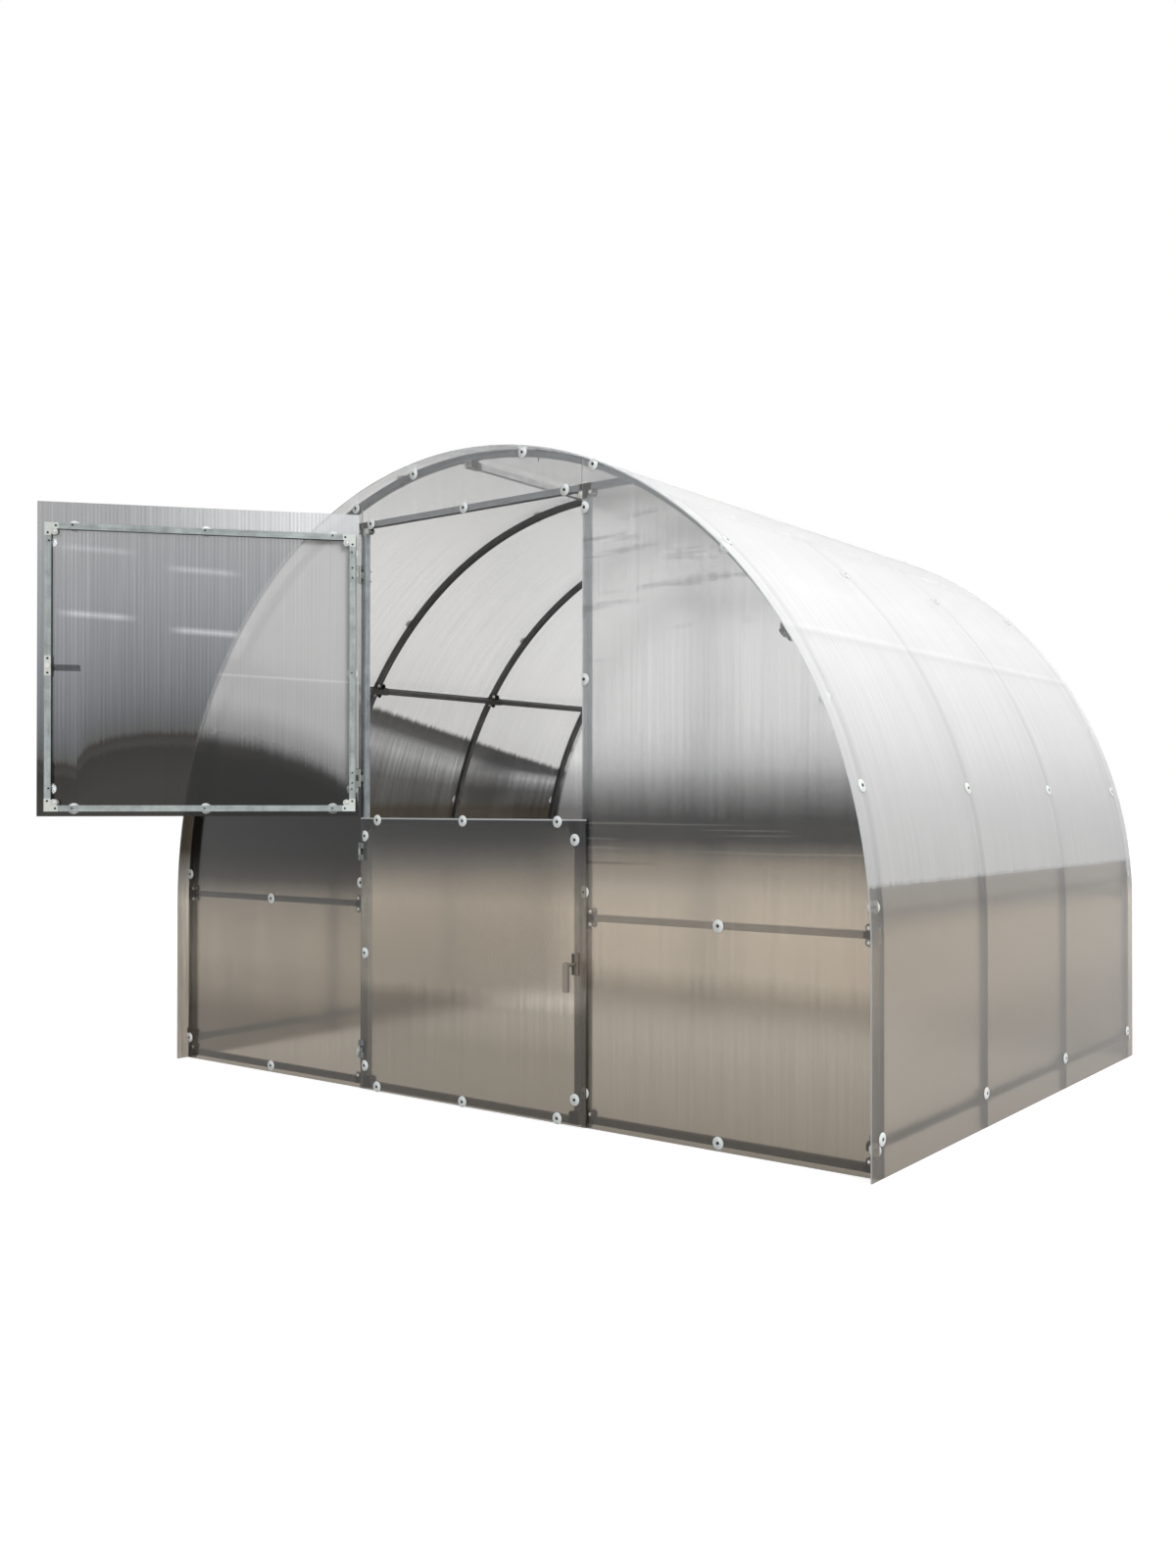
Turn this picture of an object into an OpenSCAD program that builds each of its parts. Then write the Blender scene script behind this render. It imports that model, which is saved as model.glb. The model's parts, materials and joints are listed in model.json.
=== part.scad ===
// Tunnel greenhouse on a frame of square steel tube. One long twin-wall sheet is bent over the
// arches, flat sheets close both end walls, and a doorway with an upper and a lower leaf stands
// in each end. Tubes meet in pairs of pressed plates that are bolted together beside the tubes.
// The origin is on the ground at the middle of the plan. +X runs across the tunnel, the front
// wall faces -Y and +Z points up.

/* [Tunnel] */
// Overall width across the bent cover sheet
width = 3000; // [2700:10:3300]
// Height of the straight legs below the round part of the arches
leg_h = 600; // [540:10:700]
// Distance from one arch to the next
arch_pitch = 660; // [500:10:900]
// Number of arches
arch_count = 4; // [3:1:6]
// How far the cover sheet runs past each end wall
cover_overhang = 50; // [20:5:90]
// Angle of the side purlins above the spring line of the arches
purlin_angle = 35; // [25:1:42]
// Height of the base rails above the ground
base_rail_z = 70; // [60:5:150]

/* [Steel] */
// Side of the square tubes
tube = 20; // [16:1:25]
// Wall thickness of the square tubes
tube_wall = 1.2; // [1:0.1:2.5]
// Thickness of the clamp, bracket and hinge plates
plate = 2; // [1.5:0.1:2.5]
// Radius of the round ears that hold the clamp bolts
ear_r = 11; // [8:0.5:13]
// Radius of the clamp bolts
bolt_r = 3; // [2.5:0.5:4]
// Half length of the clamp strip along the tube that runs through
strip_half = 24; // [20:1:24]
// Length of the clamp strip along the tube that ends there
stem_len = 26; // [20:1:40]
// Length of the corner bracket arms on the door leaves
bracket_arm = 42; // [36:1:60]
// Reach of the purlin cradles on each side of an arch
cradle_len = 32; // [20:1:60]

/* [Sheets] */
// Thickness of the twin-wall sheets
sheet = 4; // [3:0.5:6]
// Space left between the arches and the bent cover sheet
cover_gap = 0.3; // [0.2:0.1:0.8]
// Margin of the end wall sheets inside the outer line of the arches
edge_margin = 2; // [1:0.5:5]
// Height of the fixed sheets' lower edges above the ground
sheet_lift = 2; // [1:1:10]

/* [End walls] */
// Distance between the centre lines of the door posts
post_pitch = 1000; // [900:10:1100]
// Drop from the ridge to the underside of the header above the door
header_drop = 185; // [150:5:300]
// Height of the centre line of the middle rails
mid_rail_z = 630; // [500:5:800]
// Height of the underside of the bottom rails
bottom_rail_z = 15; // [14:1:30]

/* [Door leaves] */
// Angle by which the upper leaf stands open
upper_open = 134; // [0:1:160]
// Running gap around the door leaves
door_gap = 5; // [4:0.5:8]
// Height of the line where the two leaves meet
split_z = 928; // [850:1:1000]
// Gap between the lower leaf's sheet and the upper leaf's sheet
split_gap = 6; // [5:0.5:10]
// Height of the lower leaf's frame above the ground
leaf_lift = 8; // [6:1:20]
// How far the upper leaf's sheet hangs below its frame
upper_skirt = 16; // [5:1:30]
// Gap from the upper leaf's frame to the header
header_gap = 30; // [26:1:40]
// How far the upper leaf's sheet laps above the underside of the header
header_lap = 42; // [25:1:60]
// How far the leaf sheets lap past the edge of the fixed sheet beside them
side_lap = 22; // [10:1:40]

/* [Hinges and handles] */
// Height of a hinge
hinge_h = 60; // [45:1:80]
// Radius of the hinge barrels
barrel_r = 4; // [3.5:0.1:5]
// Radius of the hinge pins
pin_r = 2; // [1.5:0.1:2.5]
// Radial clearance of hinge pins and handle spindles
pin_clear = 0.08; // [0.05:0.01:0.1]
// Distance from a hinge to the end of the leaf where the two leaves meet
hinge_inset = 113; // [90:1:200]
// Distance from a hinge to the other end of the leaf
hinge_end_inset = 130; // [90:1:200]
// Height of the handle spindle on the lower leaf
lower_handle_z = 490; // [300:5:700]
// Height of the handle spindle on the upper leaf
upper_handle_z = 1420; // [1250:5:1600]
// Length of a handle grip
grip_len = 88; // [60:1:110]
// Width of a handle grip
grip_w = 20; // [14:1:24]
// Thickness of a handle grip
grip_t = 9; // [6:0.5:12]
// How far a grip stands off the door sheet
grip_reach = 38; // [25:1:50]
// Radius of the handle spindles
spindle_r = 4; // [3:0.5:5]
// Height of the handle plates
latch_h = 65; // [50:1:80]
// Depth of the open case round the spindle on the outside of a leaf
case_depth = 9; // [6:0.5:12]
// Wall thickness of that case
case_wall = 1.5; // [1:0.1:2]
// Radius of the lower corners of a grip
grip_corner_r = 4; // [2:0.5:6]

/* [Hidden] */
r_out = width/2 - sheet - cover_gap;          // outer face of the arches
r_in = r_out - tube;                          // inner face of the arches
r_wall = r_out - edge_margin;                 // edge of the end wall sheets
header_z = leg_h + width/2 - header_drop;     // underside of the header
end_y = (arch_count - 1)*arch_pitch/2;        // centre plane of the end arches
face_y = -end_y - tube/2;                     // front of the tubes in the front wall
wall_sheet_y = face_y - plate - sheet;        // front of the fixed sheets
leaf_y = wall_sheet_y - door_gap + plate;     // front of the tubes in the door leaves
leaf_sheet_y = leaf_y - plate - sheet;        // front of the leaf sheets
post_x = post_pitch/2;
leaf_x0 = -post_x + tube/2 + door_gap;        // hinge side of a leaf's frame
leaf_x1 = post_x - tube/2 - door_gap - 1;     // free side of a leaf's frame
stile_x = leaf_x1 - tube/2;                   // centre line of the free stile
hinge_x = -post_x + 3;
hinge_y = leaf_sheet_y - 3;
hinge_part = hinge_h/3;                       // height of one barrel
knuckle_gap = 0.3;                            // play between two barrels
fixed_sheet_x0 = hinge_x - 5;                 // edge of the left sheet, beside the hinges
fixed_sheet_x1 = post_x - tube/2;             // edge of the right sheet, behind the free edge
leaf_sheet_x0 = hinge_x + 3;
leaf_sheet_x1 = fixed_sheet_x1 + side_lap;
notch_w = leaf_x0 + 5 - leaf_sheet_x0;        // hinge notch in a leaf's sheet
lower_top = split_z - split_gap/2;            // upper edge of the lower leaf's sheet
upper_bottom = split_z + split_gap/2;         // lower edge of the upper leaf's sheet
lower_bottom = sheet_lift + 2;                // lower edge of the lower leaf's sheet
upper_top = header_z + header_lap;            // upper edge of the upper leaf's sheet
lower_span = [leaf_lift, lower_top - 2];
upper_span = [upper_bottom + upper_skirt, header_z - header_gap];
lower_hinges = [lower_span[0] + hinge_end_inset, lower_span[1] - hinge_inset];
upper_hinges = [upper_span[0] + hinge_inset, upper_span[1] - hinge_end_inset];
ear_off = ear_r - 2;                          // ear centre beside the faces of both tubes
seat = 0.1;                                   // play between a flat rail and the round arches
rail_len = 2*end_y + tube;
over = 1;                                     // how far a cut runs past what it cuts
arch_fn = 240;

galvanised = [0.62, 0.64, 0.66];
plated = [0.74, 0.76, 0.78];
clear_sheet = [0.82, 0.84, 0.86, 0.6];
handle_grey = [0.70, 0.72, 0.74];

// ---- Shapes that repeat ----

// Cross outline of the tunnel: straight legs and a half circle, drawn in X and Z
module outline(r, low = 0) {
    translate([-r, low]) square([2*r, leg_h - low]);
    intersection() {
        translate([0, leg_h]) circle(r, $fn = arch_fn);
        translate([-r, leg_h]) square([2*r, r]);
    }
}

// Stands a flat shape up in the XZ plane, centred on y and depth thick
module upright(y, depth) {
    translate([0, y + depth/2, 0]) rotate([90, 0, 0]) linear_extrude(depth) children();
}

// Band of the tunnel outline, from radius r inwards
module band(r, thick, y, depth, low = 0) {
    upright(y, depth) difference() {
        outline(r, low);
        outline(r - thick, low - over);
    }
}

// Straight square tube along +X from the origin, centred on its axis
module square_tube(len) {
    bore = tube - 2*tube_wall;
    difference() {
        translate([0, -tube/2, -tube/2]) cube([len, tube, tube]);
        translate([-over, -bore/2, -bore/2]) cube([len + 2*over, bore, bore]);
    }
}

// Square tube along +Z
module upright_tube(x, y, z0, z1) {
    translate([x, y, z0]) rotate([0, -90, 0]) square_tube(z1 - z0);
}

// Bent tube arch with its centre plane at y
module arch(y) {
    color(galvanised) difference() {
        band(r_out, tube, y, tube);
        band(r_out - tube_wall, tube - 2*tube_wall, y, tube - 2*tube_wall, -over);
    }
}

// Purlin tube along the tunnel, against the inside of the arches at an angle from +X
module purlin(angle) {
    color(galvanised) translate([0, 0, leg_h]) rotate([0, -angle, 0])
        translate([r_in - seat - tube/2, -rail_len/2, 0]) rotate([0, 0, 90]) square_tube(rail_len);
}

// Pair of plates that grips the two sides of the tubes in a wall whose front is at y
module plate_pair(y, depth = tube) {
    for (at = [y - plate/2, y + depth + plate/2]) upright(at, plate) children();
}

// Bolt through both plates, flush with them, at x and z
module clamp_bolt(x, y, z) {
    translate([x, y + tube + plate, z]) rotate([90, 0, 0])
        cylinder(r = bolt_r, h = tube + 2*plate, $fn = 24);
}

// Flat shape of a tee clamp: the through tube lies along X above the line, the stem below it
module tee_shape(ears) {
    translate([-strip_half, 0]) square([2*strip_half, tube]);
    translate([-tube/2, -stem_len]) square([tube, stem_len]);
    for (s = ears) translate([s*(tube/2 + ear_off), -ear_off]) circle(ear_r, $fn = 48);
}

// Tee clamp at x and z in the wall whose front is at y. turn points the stem: 0 down, 90 to -X,
// -90 to +X
module tee_clamp(x, y, z, turn, ears = [-1, 1]) {
    color(plated) translate([x, y, z]) rotate([0, turn, 0]) {
        plate_pair(0) tee_shape(ears);
        for (s = ears) clamp_bolt(s*(tube/2 + ear_off), 0, -ear_off);
    }
}

// Cradle that hangs a rail from one arch: a strip on the arch and a channel round the rail.
// sides says on which sides of the arch it has a plate, -1 front and 1 back
module cradle(sides, ears) {
    wide = tube + 2*plate + 2*seat;
    front = min(sides) < 0 ? -tube/2 - cradle_len : 0;
    back = max(sides) > 0 ? tube/2 + cradle_len : 0;
    color(plated) difference() {
        union() {
            for (s = sides) upright(s*(tube + plate)/2, plate) {
                translate([-strip_half, 0]) square([2*strip_half, tube - over]);
                for (e = ears) translate([e*(wide/2 + ear_off), -ear_off]) circle(ear_r, $fn = 48);
                translate([-wide/2, -tube - plate - 2*seat]) square([wide, tube + plate + 2*seat]);
            }
            translate([-wide/2, front, -tube - plate - 2*seat])
                cube([wide, back - front, tube + plate]);
        }
        translate([-wide/2 + plate, -tube - cradle_len - over, -tube - 2*seat])
            cube([wide - 2*plate, 2*(tube + cradle_len + over), tube + 2*seat]);
        translate([-wide, -tube/2, -2*seat - over]) cube([2*wide, tube, 2*tube]);
    }
}

// Cradles of one rail at every arch, open towards the end walls
module cradles(ears = [-1, 1]) {
    for (i = [0 : arch_count - 1]) {
        sides = i == 0 ? [1] : i == arch_count - 1 ? [-1] : [-1, 1];
        translate([0, i*arch_pitch - end_y, 0]) cradle(sides, ears);
    }
}

// ---- End wall frame, drawn for the front wall ----

// Keeps what lies inside the arch of an end wall
module inside_arch(y) {
    intersection() {
        children();
        upright(y, 2*tube) outline(r_in - seat/2, -over);
    }
}

module wall_posts() {
    color(galvanised) for (s = [-1, 1]) upright_tube(s*post_x, -end_y, 0, header_z);
}

module wall_header() {
    color(galvanised) inside_arch(-end_y)
        translate([-r_in, -end_y, header_z + tube/2]) square_tube(2*r_in);
}

// Pair of rails from the posts out to the arch, with their centre line at z
module wall_rails(z) {
    color(galvanised) inside_arch(-end_y) for (x = [-r_in, post_x + tube/2])
        translate([x, -end_y, z]) square_tube(r_in - post_x - tube/2);
}

// Inner face of the arch at a height, from the centre line
function arch_x(z) = z <= leg_h ? r_in : sqrt(r_in*r_in - (z - leg_h)*(z - leg_h));

module wall_clamps() {
    for (s = [-1, 1]) {
        tee_clamp(s*post_x, face_y, header_z, 0);
        tee_clamp(s*(post_x + tube/2), face_y, mid_rail_z, -s*90);
        tee_clamp(s*arch_x(mid_rail_z), face_y, mid_rail_z, s*90);
        tee_clamp(s*(post_x + tube/2), face_y, bottom_rail_z + tube/2, -s*90, [s]);
        tee_clamp(s*r_in, face_y, bottom_rail_z + tube/2, s*90, [-s]);
    }
}

// Fixed sheet of the front wall between x0 and x1, from z0 up to the arch
module wall_sheet(x0, x1, z0) {
    color(clear_sheet) upright(wall_sheet_y + sheet/2, sheet) intersection() {
        outline(r_wall);
        translate([x0, z0]) square([x1 - x0, leg_h + width]);
    }
}

// ---- Door leaves, drawn closed in the front wall ----

// Both stiles of a leaf, the free one drilled for the handle spindle
module leaf_stiles(span, handle_z) {
    color(galvanised) difference() {
        for (x = [leaf_x0 + tube/2, stile_x])
            upright_tube(x, leaf_y + tube/2, span[0], span[1]);
        spindle_hole(handle_z, 1);
    }
}

module leaf_rails(span) {
    color(galvanised) for (z = [span[0] + tube/2, span[1] - tube/2])
        translate([leaf_x0 + tube, leaf_y + tube/2, z]) square_tube(leaf_x1 - leaf_x0 - 2*tube);
}

// Corner bracket plates and their bolt. sx and sz point from the corner into the leaf
module corner_bracket(x, z, sx, sz) {
    ear = tube + ear_off;
    color(plated) {
        translate([x, 0, z]) plate_pair(leaf_y) mirror([sx < 0 ? 1 : 0, 0])
            mirror([0, sz < 0 ? 1 : 0]) {
                square([bracket_arm, tube]);
                square([tube, bracket_arm]);
                translate([ear, ear]) circle(ear_r, $fn = 48);
            }
        clamp_bolt(x + sx*ear, leaf_y, z + sz*ear);
    }
}

module leaf_brackets(span) {
    for (side = [[leaf_x0, 1], [leaf_x1, -1]], end = [[span[0], 1], [span[1], -1]])
        corner_bracket(side[0], end[0], side[1], end[1]);
}

// Sheet of a leaf, with a notch at each hinge and a hole for the handle spindle
module leaf_sheet(z0, z1, hinges, handle_z) {
    color(clear_sheet) difference() {
        translate([leaf_sheet_x0, leaf_sheet_y, z0])
            cube([leaf_sheet_x1 - leaf_sheet_x0, sheet, z1 - z0]);
        for (z = hinges) translate([leaf_sheet_x0 - over, leaf_sheet_y - over, z - hinge_h/2 - 2])
            cube([notch_w + over, sheet + 2*over, hinge_h + 4]);
        spindle_hole(handle_z, 1);
    }
}

// Hole round the handle spindle, play wider than its radius
module spindle_hole(z, play) {
    translate([stile_x, leaf_y + 2*tube, z]) rotate([90, 0, 0])
        cylinder(r = spindle_r + play, h = 4*tube, $fn = 48);
}

// Fixed half of a hinge on the post: plate, arm, middle barrel and pin
module post_hinge(z) {
    color(plated) {
        translate([-post_x - tube/2 + 1, face_y - plate, z - hinge_h/2])
            cube([hinge_x - 2 + post_x + tube/2 - 1, plate, hinge_h]);
        translate([hinge_x - barrel_r, hinge_y, z - hinge_part/2])
            cube([plate, face_y - hinge_y, hinge_part]);
        translate([hinge_x, hinge_y, z - hinge_part/2])
            cylinder(r = barrel_r, h = hinge_part, $fn = 48);
        translate([hinge_x, hinge_y, z - hinge_h/2]) cylinder(r = pin_r, h = hinge_h, $fn = 48);
    }
}

// Moving half of a hinge: plate on the stile and two bored barrels on cranked arms
module leaf_hinge(z) {
    barrel_h = hinge_part - knuckle_gap;
    color(plated) difference() {
        union() {
            translate([leaf_x0, leaf_y - plate, z - hinge_h/2]) cube([tube - 2, plate, hinge_h]);
            for (z0 = [z - hinge_h/2, z + hinge_h/2 - barrel_h]) translate([0, 0, z0]) {
                translate([hinge_x, hinge_y]) cylinder(r = barrel_r, h = barrel_h, $fn = 48);
                linear_extrude(barrel_h) polygon([[hinge_x, hinge_y - plate*0.75],
                    [leaf_x0 + 2, leaf_y - plate], [leaf_x0 + 2, leaf_y], [leaf_x0, leaf_y],
                    [hinge_x, hinge_y + plate*0.75]]);
            }
        }
        translate([hinge_x, hinge_y, z - hinge_h])
            cylinder(r = pin_r + pin_clear, h = 2*hinge_h, $fn = 48);
    }
}

// Plate on the inside of a leaf and open case on its outside, both bored for the spindle
module latch_plates(z) {
    color(plated) difference() {
        translate([stile_x - tube/2, 0, z - latch_h/2]) {
            translate([0, leaf_y + tube, 0]) cube([tube, plate, latch_h]);
            difference() {
                translate([0, leaf_sheet_y - case_depth, 0]) cube([tube, case_depth, latch_h]);
                translate([case_wall, leaf_sheet_y - case_depth - over, case_wall])
                    cube([tube - 2*case_wall, case_depth - plate + over, latch_h - 2*case_wall]);
            }
        }
        spindle_hole(z, pin_clear);
    }
}

// Outline of a grip that hangs from the spindle: round at the top, small corners at the bottom
module grip_shape() {
    foot = 2*spindle_r - grip_len;
    circle(grip_w/2, $fn = 48);
    translate([-grip_w/2, foot + grip_corner_r]) square([grip_w, -foot - grip_corner_r]);
    translate([-grip_w/2 + grip_corner_r, foot]) square([grip_w - 2*grip_corner_r, grip_corner_r]);
    for (s = [-1, 1]) translate([s*(grip_w/2 - grip_corner_r), foot + grip_corner_r])
        circle(grip_corner_r, $fn = 32);
}

// Handle: spindle through the stile, a retaining disc inside, and a neck that holds the grip off
// the sheet. turn swings the grip from hanging down towards the hinges
module handle(z, turn) {
    outer = leaf_sheet_y - plate;
    inner = leaf_y + tube + plate;
    color(handle_grey) translate([stile_x, 0, z]) rotate([0, turn, 0]) {
        translate([0, inner + plate + 0.5, 0]) rotate([90, 0, 0])
            cylinder(r = spindle_r, h = inner + plate + 0.5 - outer + over, $fn = 48);
        translate([0, inner + plate + 0.5, 0]) rotate([90, 0, 0])
            cylinder(r = 2*spindle_r, h = plate, $fn = 48);
        translate([0, outer - 0.5, 0]) rotate([90, 0, 0])
            cylinder(r = 1.4*spindle_r, h = grip_reach, $fn = 48);
        translate([0, outer - grip_reach, 0]) rotate([90, 0, 0]) linear_extrude(grip_t) grip_shape();
    }
}

// Swings the upper leaf open about its hinge pins
module swung() {
    translate([hinge_x, hinge_y, 0]) rotate([0, 0, -upper_open])
        translate([-hinge_x, -hinge_y, 0]) children();
}

// Turns a front wall piece round to the back wall
module at_back() {
    rotate([0, 0, 180]) children();
}

// ---- Tunnel ----

module front_arch() arch(-end_y);
module middle_arches() for (i = [1 : arch_count - 2]) arch(i*arch_pitch - end_y);
module back_arch() arch(end_y);
module ridge_purlin() purlin(90);
module side_purlins() for (angle = [purlin_angle, 180 - purlin_angle]) purlin(angle);

module base_rails() {
    color(galvanised) for (s = [-1, 1])
        translate([s*(r_in - seat - tube/2), -rail_len/2, base_rail_z + tube/2])
            rotate([0, 0, 90]) square_tube(rail_len);
}

module rail_clamps() {
    for (angle = [purlin_angle, 90, 180 - purlin_angle])
        translate([0, 0, leg_h]) rotate([0, 90 - angle, 0]) translate([0, 0, r_in]) cradles();
    for (s = [-1, 1]) translate([s*r_in, 0, base_rail_z + tube/2]) rotate([0, s*90, 0]) cradles([-s]);
}

module roof_sheet() {
    color(clear_sheet) band(width/2, sheet, 0, rail_len + 2*cover_overhang, sheet_lift);
}

// ---- Front wall ----

module front_posts() wall_posts();
module front_header() wall_header();
module front_mid_rails() wall_rails(mid_rail_z);
module front_bottom_rails() wall_rails(bottom_rail_z + tube/2);
module front_clamps() wall_clamps();
module front_left_sheet() wall_sheet(-width, fixed_sheet_x0, sheet_lift);
module front_right_sheet() wall_sheet(fixed_sheet_x1, width, sheet_lift);
module front_gable_sheet() wall_sheet(fixed_sheet_x0 + 2, fixed_sheet_x1 - 2, header_z);
module post_hinges() for (z = concat(lower_hinges, upper_hinges)) post_hinge(z);

// ---- Back wall ----

module back_posts() at_back() wall_posts();
module back_header() at_back() wall_header();
module back_mid_rails() at_back() wall_rails(mid_rail_z);
module back_bottom_rails() at_back() wall_rails(bottom_rail_z + tube/2);
module back_clamps() at_back() wall_clamps();
module back_left_sheet() at_back() front_left_sheet();
module back_right_sheet() at_back() front_right_sheet();
module back_gable_sheet() at_back() front_gable_sheet();

module back_door_stiles() {
    at_back() {
        leaf_stiles(lower_span, lower_handle_z);
        leaf_stiles(upper_span, upper_handle_z);
    }
}

module back_door_rails() at_back() for (span = [lower_span, upper_span]) leaf_rails(span);
module back_door_brackets() at_back() for (span = [lower_span, upper_span]) leaf_brackets(span);

module back_door_sheets() {
    at_back() {
        leaf_sheet(lower_bottom, lower_top, lower_hinges, lower_handle_z);
        leaf_sheet(upper_bottom, upper_top, upper_hinges, upper_handle_z);
    }
}

module back_door_hinges() {
    at_back() for (z = concat(lower_hinges, upper_hinges)) {
        post_hinge(z);
        leaf_hinge(z);
    }
}

module back_door_latches() {
    at_back() for (z = [lower_handle_z, upper_handle_z]) {
        latch_plates(z);
        handle(z, 0);
    }
}

// ---- Upper leaf ----

module upper_door_stiles() swung() leaf_stiles(upper_span, upper_handle_z);
module upper_door_rails() swung() leaf_rails(upper_span);
module upper_door_brackets() swung() leaf_brackets(upper_span);

module upper_door_sheet() swung() leaf_sheet(upper_bottom, upper_top, upper_hinges, upper_handle_z);

module upper_door_hinges() swung() for (z = upper_hinges) leaf_hinge(z);
module upper_latch_plates() swung() latch_plates(upper_handle_z);
module upper_handle() swung() handle(upper_handle_z, 90);

// ---- Lower leaf ----

module lower_door_stiles() leaf_stiles(lower_span, lower_handle_z);
module lower_door_rails() leaf_rails(lower_span);
module lower_door_brackets() leaf_brackets(lower_span);
module lower_door_sheet() leaf_sheet(lower_bottom, lower_top, lower_hinges, lower_handle_z);
module lower_door_hinges() for (z = lower_hinges) leaf_hinge(z);
module lower_latch_plates() latch_plates(lower_handle_z);
module lower_handle() handle(lower_handle_z, 0);

front_arch();
middle_arches();
back_arch();
ridge_purlin();
side_purlins();
base_rails();
front_posts();
front_header();
front_mid_rails();
front_bottom_rails();
back_posts();
back_header();
back_mid_rails();
back_bottom_rails();
front_clamps();
back_clamps();
rail_clamps();
roof_sheet();
front_left_sheet();
front_right_sheet();
front_gable_sheet();
back_left_sheet();
back_right_sheet();
back_gable_sheet();
post_hinges();
upper_door_stiles();
upper_door_rails();
upper_door_brackets();
upper_door_sheet();
upper_door_hinges();
upper_latch_plates();
upper_handle();
lower_door_stiles();
lower_door_rails();
lower_door_brackets();
lower_door_sheet();
lower_door_hinges();
lower_latch_plates();
lower_handle();
back_door_stiles();
back_door_rails();
back_door_brackets();
back_door_sheets();
back_door_hinges();
back_door_latches();
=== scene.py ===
import json
import math

import bpy
from mathutils import Matrix, Vector


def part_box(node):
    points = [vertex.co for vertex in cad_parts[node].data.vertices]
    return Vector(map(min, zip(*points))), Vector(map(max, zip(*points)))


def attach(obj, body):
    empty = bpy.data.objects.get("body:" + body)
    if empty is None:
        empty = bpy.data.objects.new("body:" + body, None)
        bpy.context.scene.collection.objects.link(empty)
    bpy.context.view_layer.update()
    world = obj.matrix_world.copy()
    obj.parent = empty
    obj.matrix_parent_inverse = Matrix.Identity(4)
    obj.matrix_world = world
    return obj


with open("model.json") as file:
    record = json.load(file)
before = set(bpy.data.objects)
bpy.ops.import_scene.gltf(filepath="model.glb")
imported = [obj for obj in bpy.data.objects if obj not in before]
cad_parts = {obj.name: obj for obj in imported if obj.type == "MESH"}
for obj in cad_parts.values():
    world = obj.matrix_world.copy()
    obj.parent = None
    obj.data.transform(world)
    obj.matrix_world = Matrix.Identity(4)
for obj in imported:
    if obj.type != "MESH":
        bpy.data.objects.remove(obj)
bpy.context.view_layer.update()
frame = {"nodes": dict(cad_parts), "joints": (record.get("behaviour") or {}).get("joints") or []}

# ---- Sizes, in metres ----

TUBE = 0.020            # side of the square tubes
PLATE = 0.002           # thickness of clamp, bracket and hinge plates
EAR_OFF = 0.009         # from the faces of two joined tubes to the bolt between them
CRADLE_EAR = 0.0211     # from a purlin's middle to its cradle's bolts
BRACKET_SCREW = 0.034   # from a leaf's corner to the screw on each bracket arm
HINGE_HALF = 0.030      # half the height of a hinge
HINGE_SCREW = 0.017     # from a hinge's middle to each of its screws
LATCH_SCREW = 0.009     # from the end of a latch plate to its screw
SCREW_LEN = 0.038       # length of a sheet screw under its washer
THREAD_PITCH = 1.4      # of every screw thread, in mm
CUT = 0.0085            # where a washer beside a sheet's edge is cut off
PURLIN_ANGLE = 35       # of the side purlins, up from the level
SMOOTH_UP_TO = 35       # edges of turned pieces look smooth up to this angle
OUT_FRONT = Vector((0, -1, 0))

# ---- Places that the frame gives ----

post_low, post_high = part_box("front_posts")
sheet_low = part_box("front_right_sheet")[0]
leaf_low, leaf_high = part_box("lower_door_stiles")
leaf_sheet_low, leaf_sheet_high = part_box("lower_door_sheet")
upper_low, upper_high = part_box("upper_door_stiles")
arch_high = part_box("front_arch")[1]
middle_low, middle_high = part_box("middle_arches")
roof_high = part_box("roof_sheet")[1]
header_low, header_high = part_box("front_header")
mid_low, mid_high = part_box("front_mid_rails")
bottom_low, bottom_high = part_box("front_bottom_rails")
base_low, base_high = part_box("base_rails")

wall_y = post_low.y                     # front of the tubes in the front wall
sheet_y = sheet_low.y                   # front of the fixed sheets
leaf_y = leaf_low.y                     # front of the tubes in a closed leaf
leaf_sheet_y = leaf_sheet_low.y         # front of a closed leaf's sheet
post_x = post_high.x - TUBE / 2
stile_x = leaf_high.x - TUBE / 2        # middle of a leaf's free stile
hinge_stile_x = leaf_low.x + TUBE / 2
arch_r = arch_high.x                    # outer radius of the arches
arch_mid_r = arch_r - TUBE / 2
arch_inner_r = arch_r - TUBE
leg_h = arch_high.z - arch_high.x       # height at which the arches start to bend
roof_r = roof_high.x                    # outer radius of the bent sheet
arch_pitch = middle_high.y - middle_low.y - TUBE
arch_ys = [middle_low.y + TUBE / 2 + step * arch_pitch for step in (-1, 0, 1, 2)]
purlin_z = leg_h + arch_r * math.sin(math.radians(PURLIN_ANGLE))
header_z = (header_low.z + header_high.z) / 2
mid_z = (mid_low.z + mid_high.z) / 2
bottom_z = (bottom_low.z + bottom_high.z) / 2
base_z = (base_low.z + base_high.z) / 2

swing = next(joint for joint in frame["joints"] if joint["name"] == "upper_door_swing")
upper_open = math.radians(swing["range_deg"][0])    # turn about Z from closed to open
hinge_pin = Vector(swing["pos_m"])

# ---- Where the sheet screws sit ----

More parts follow.
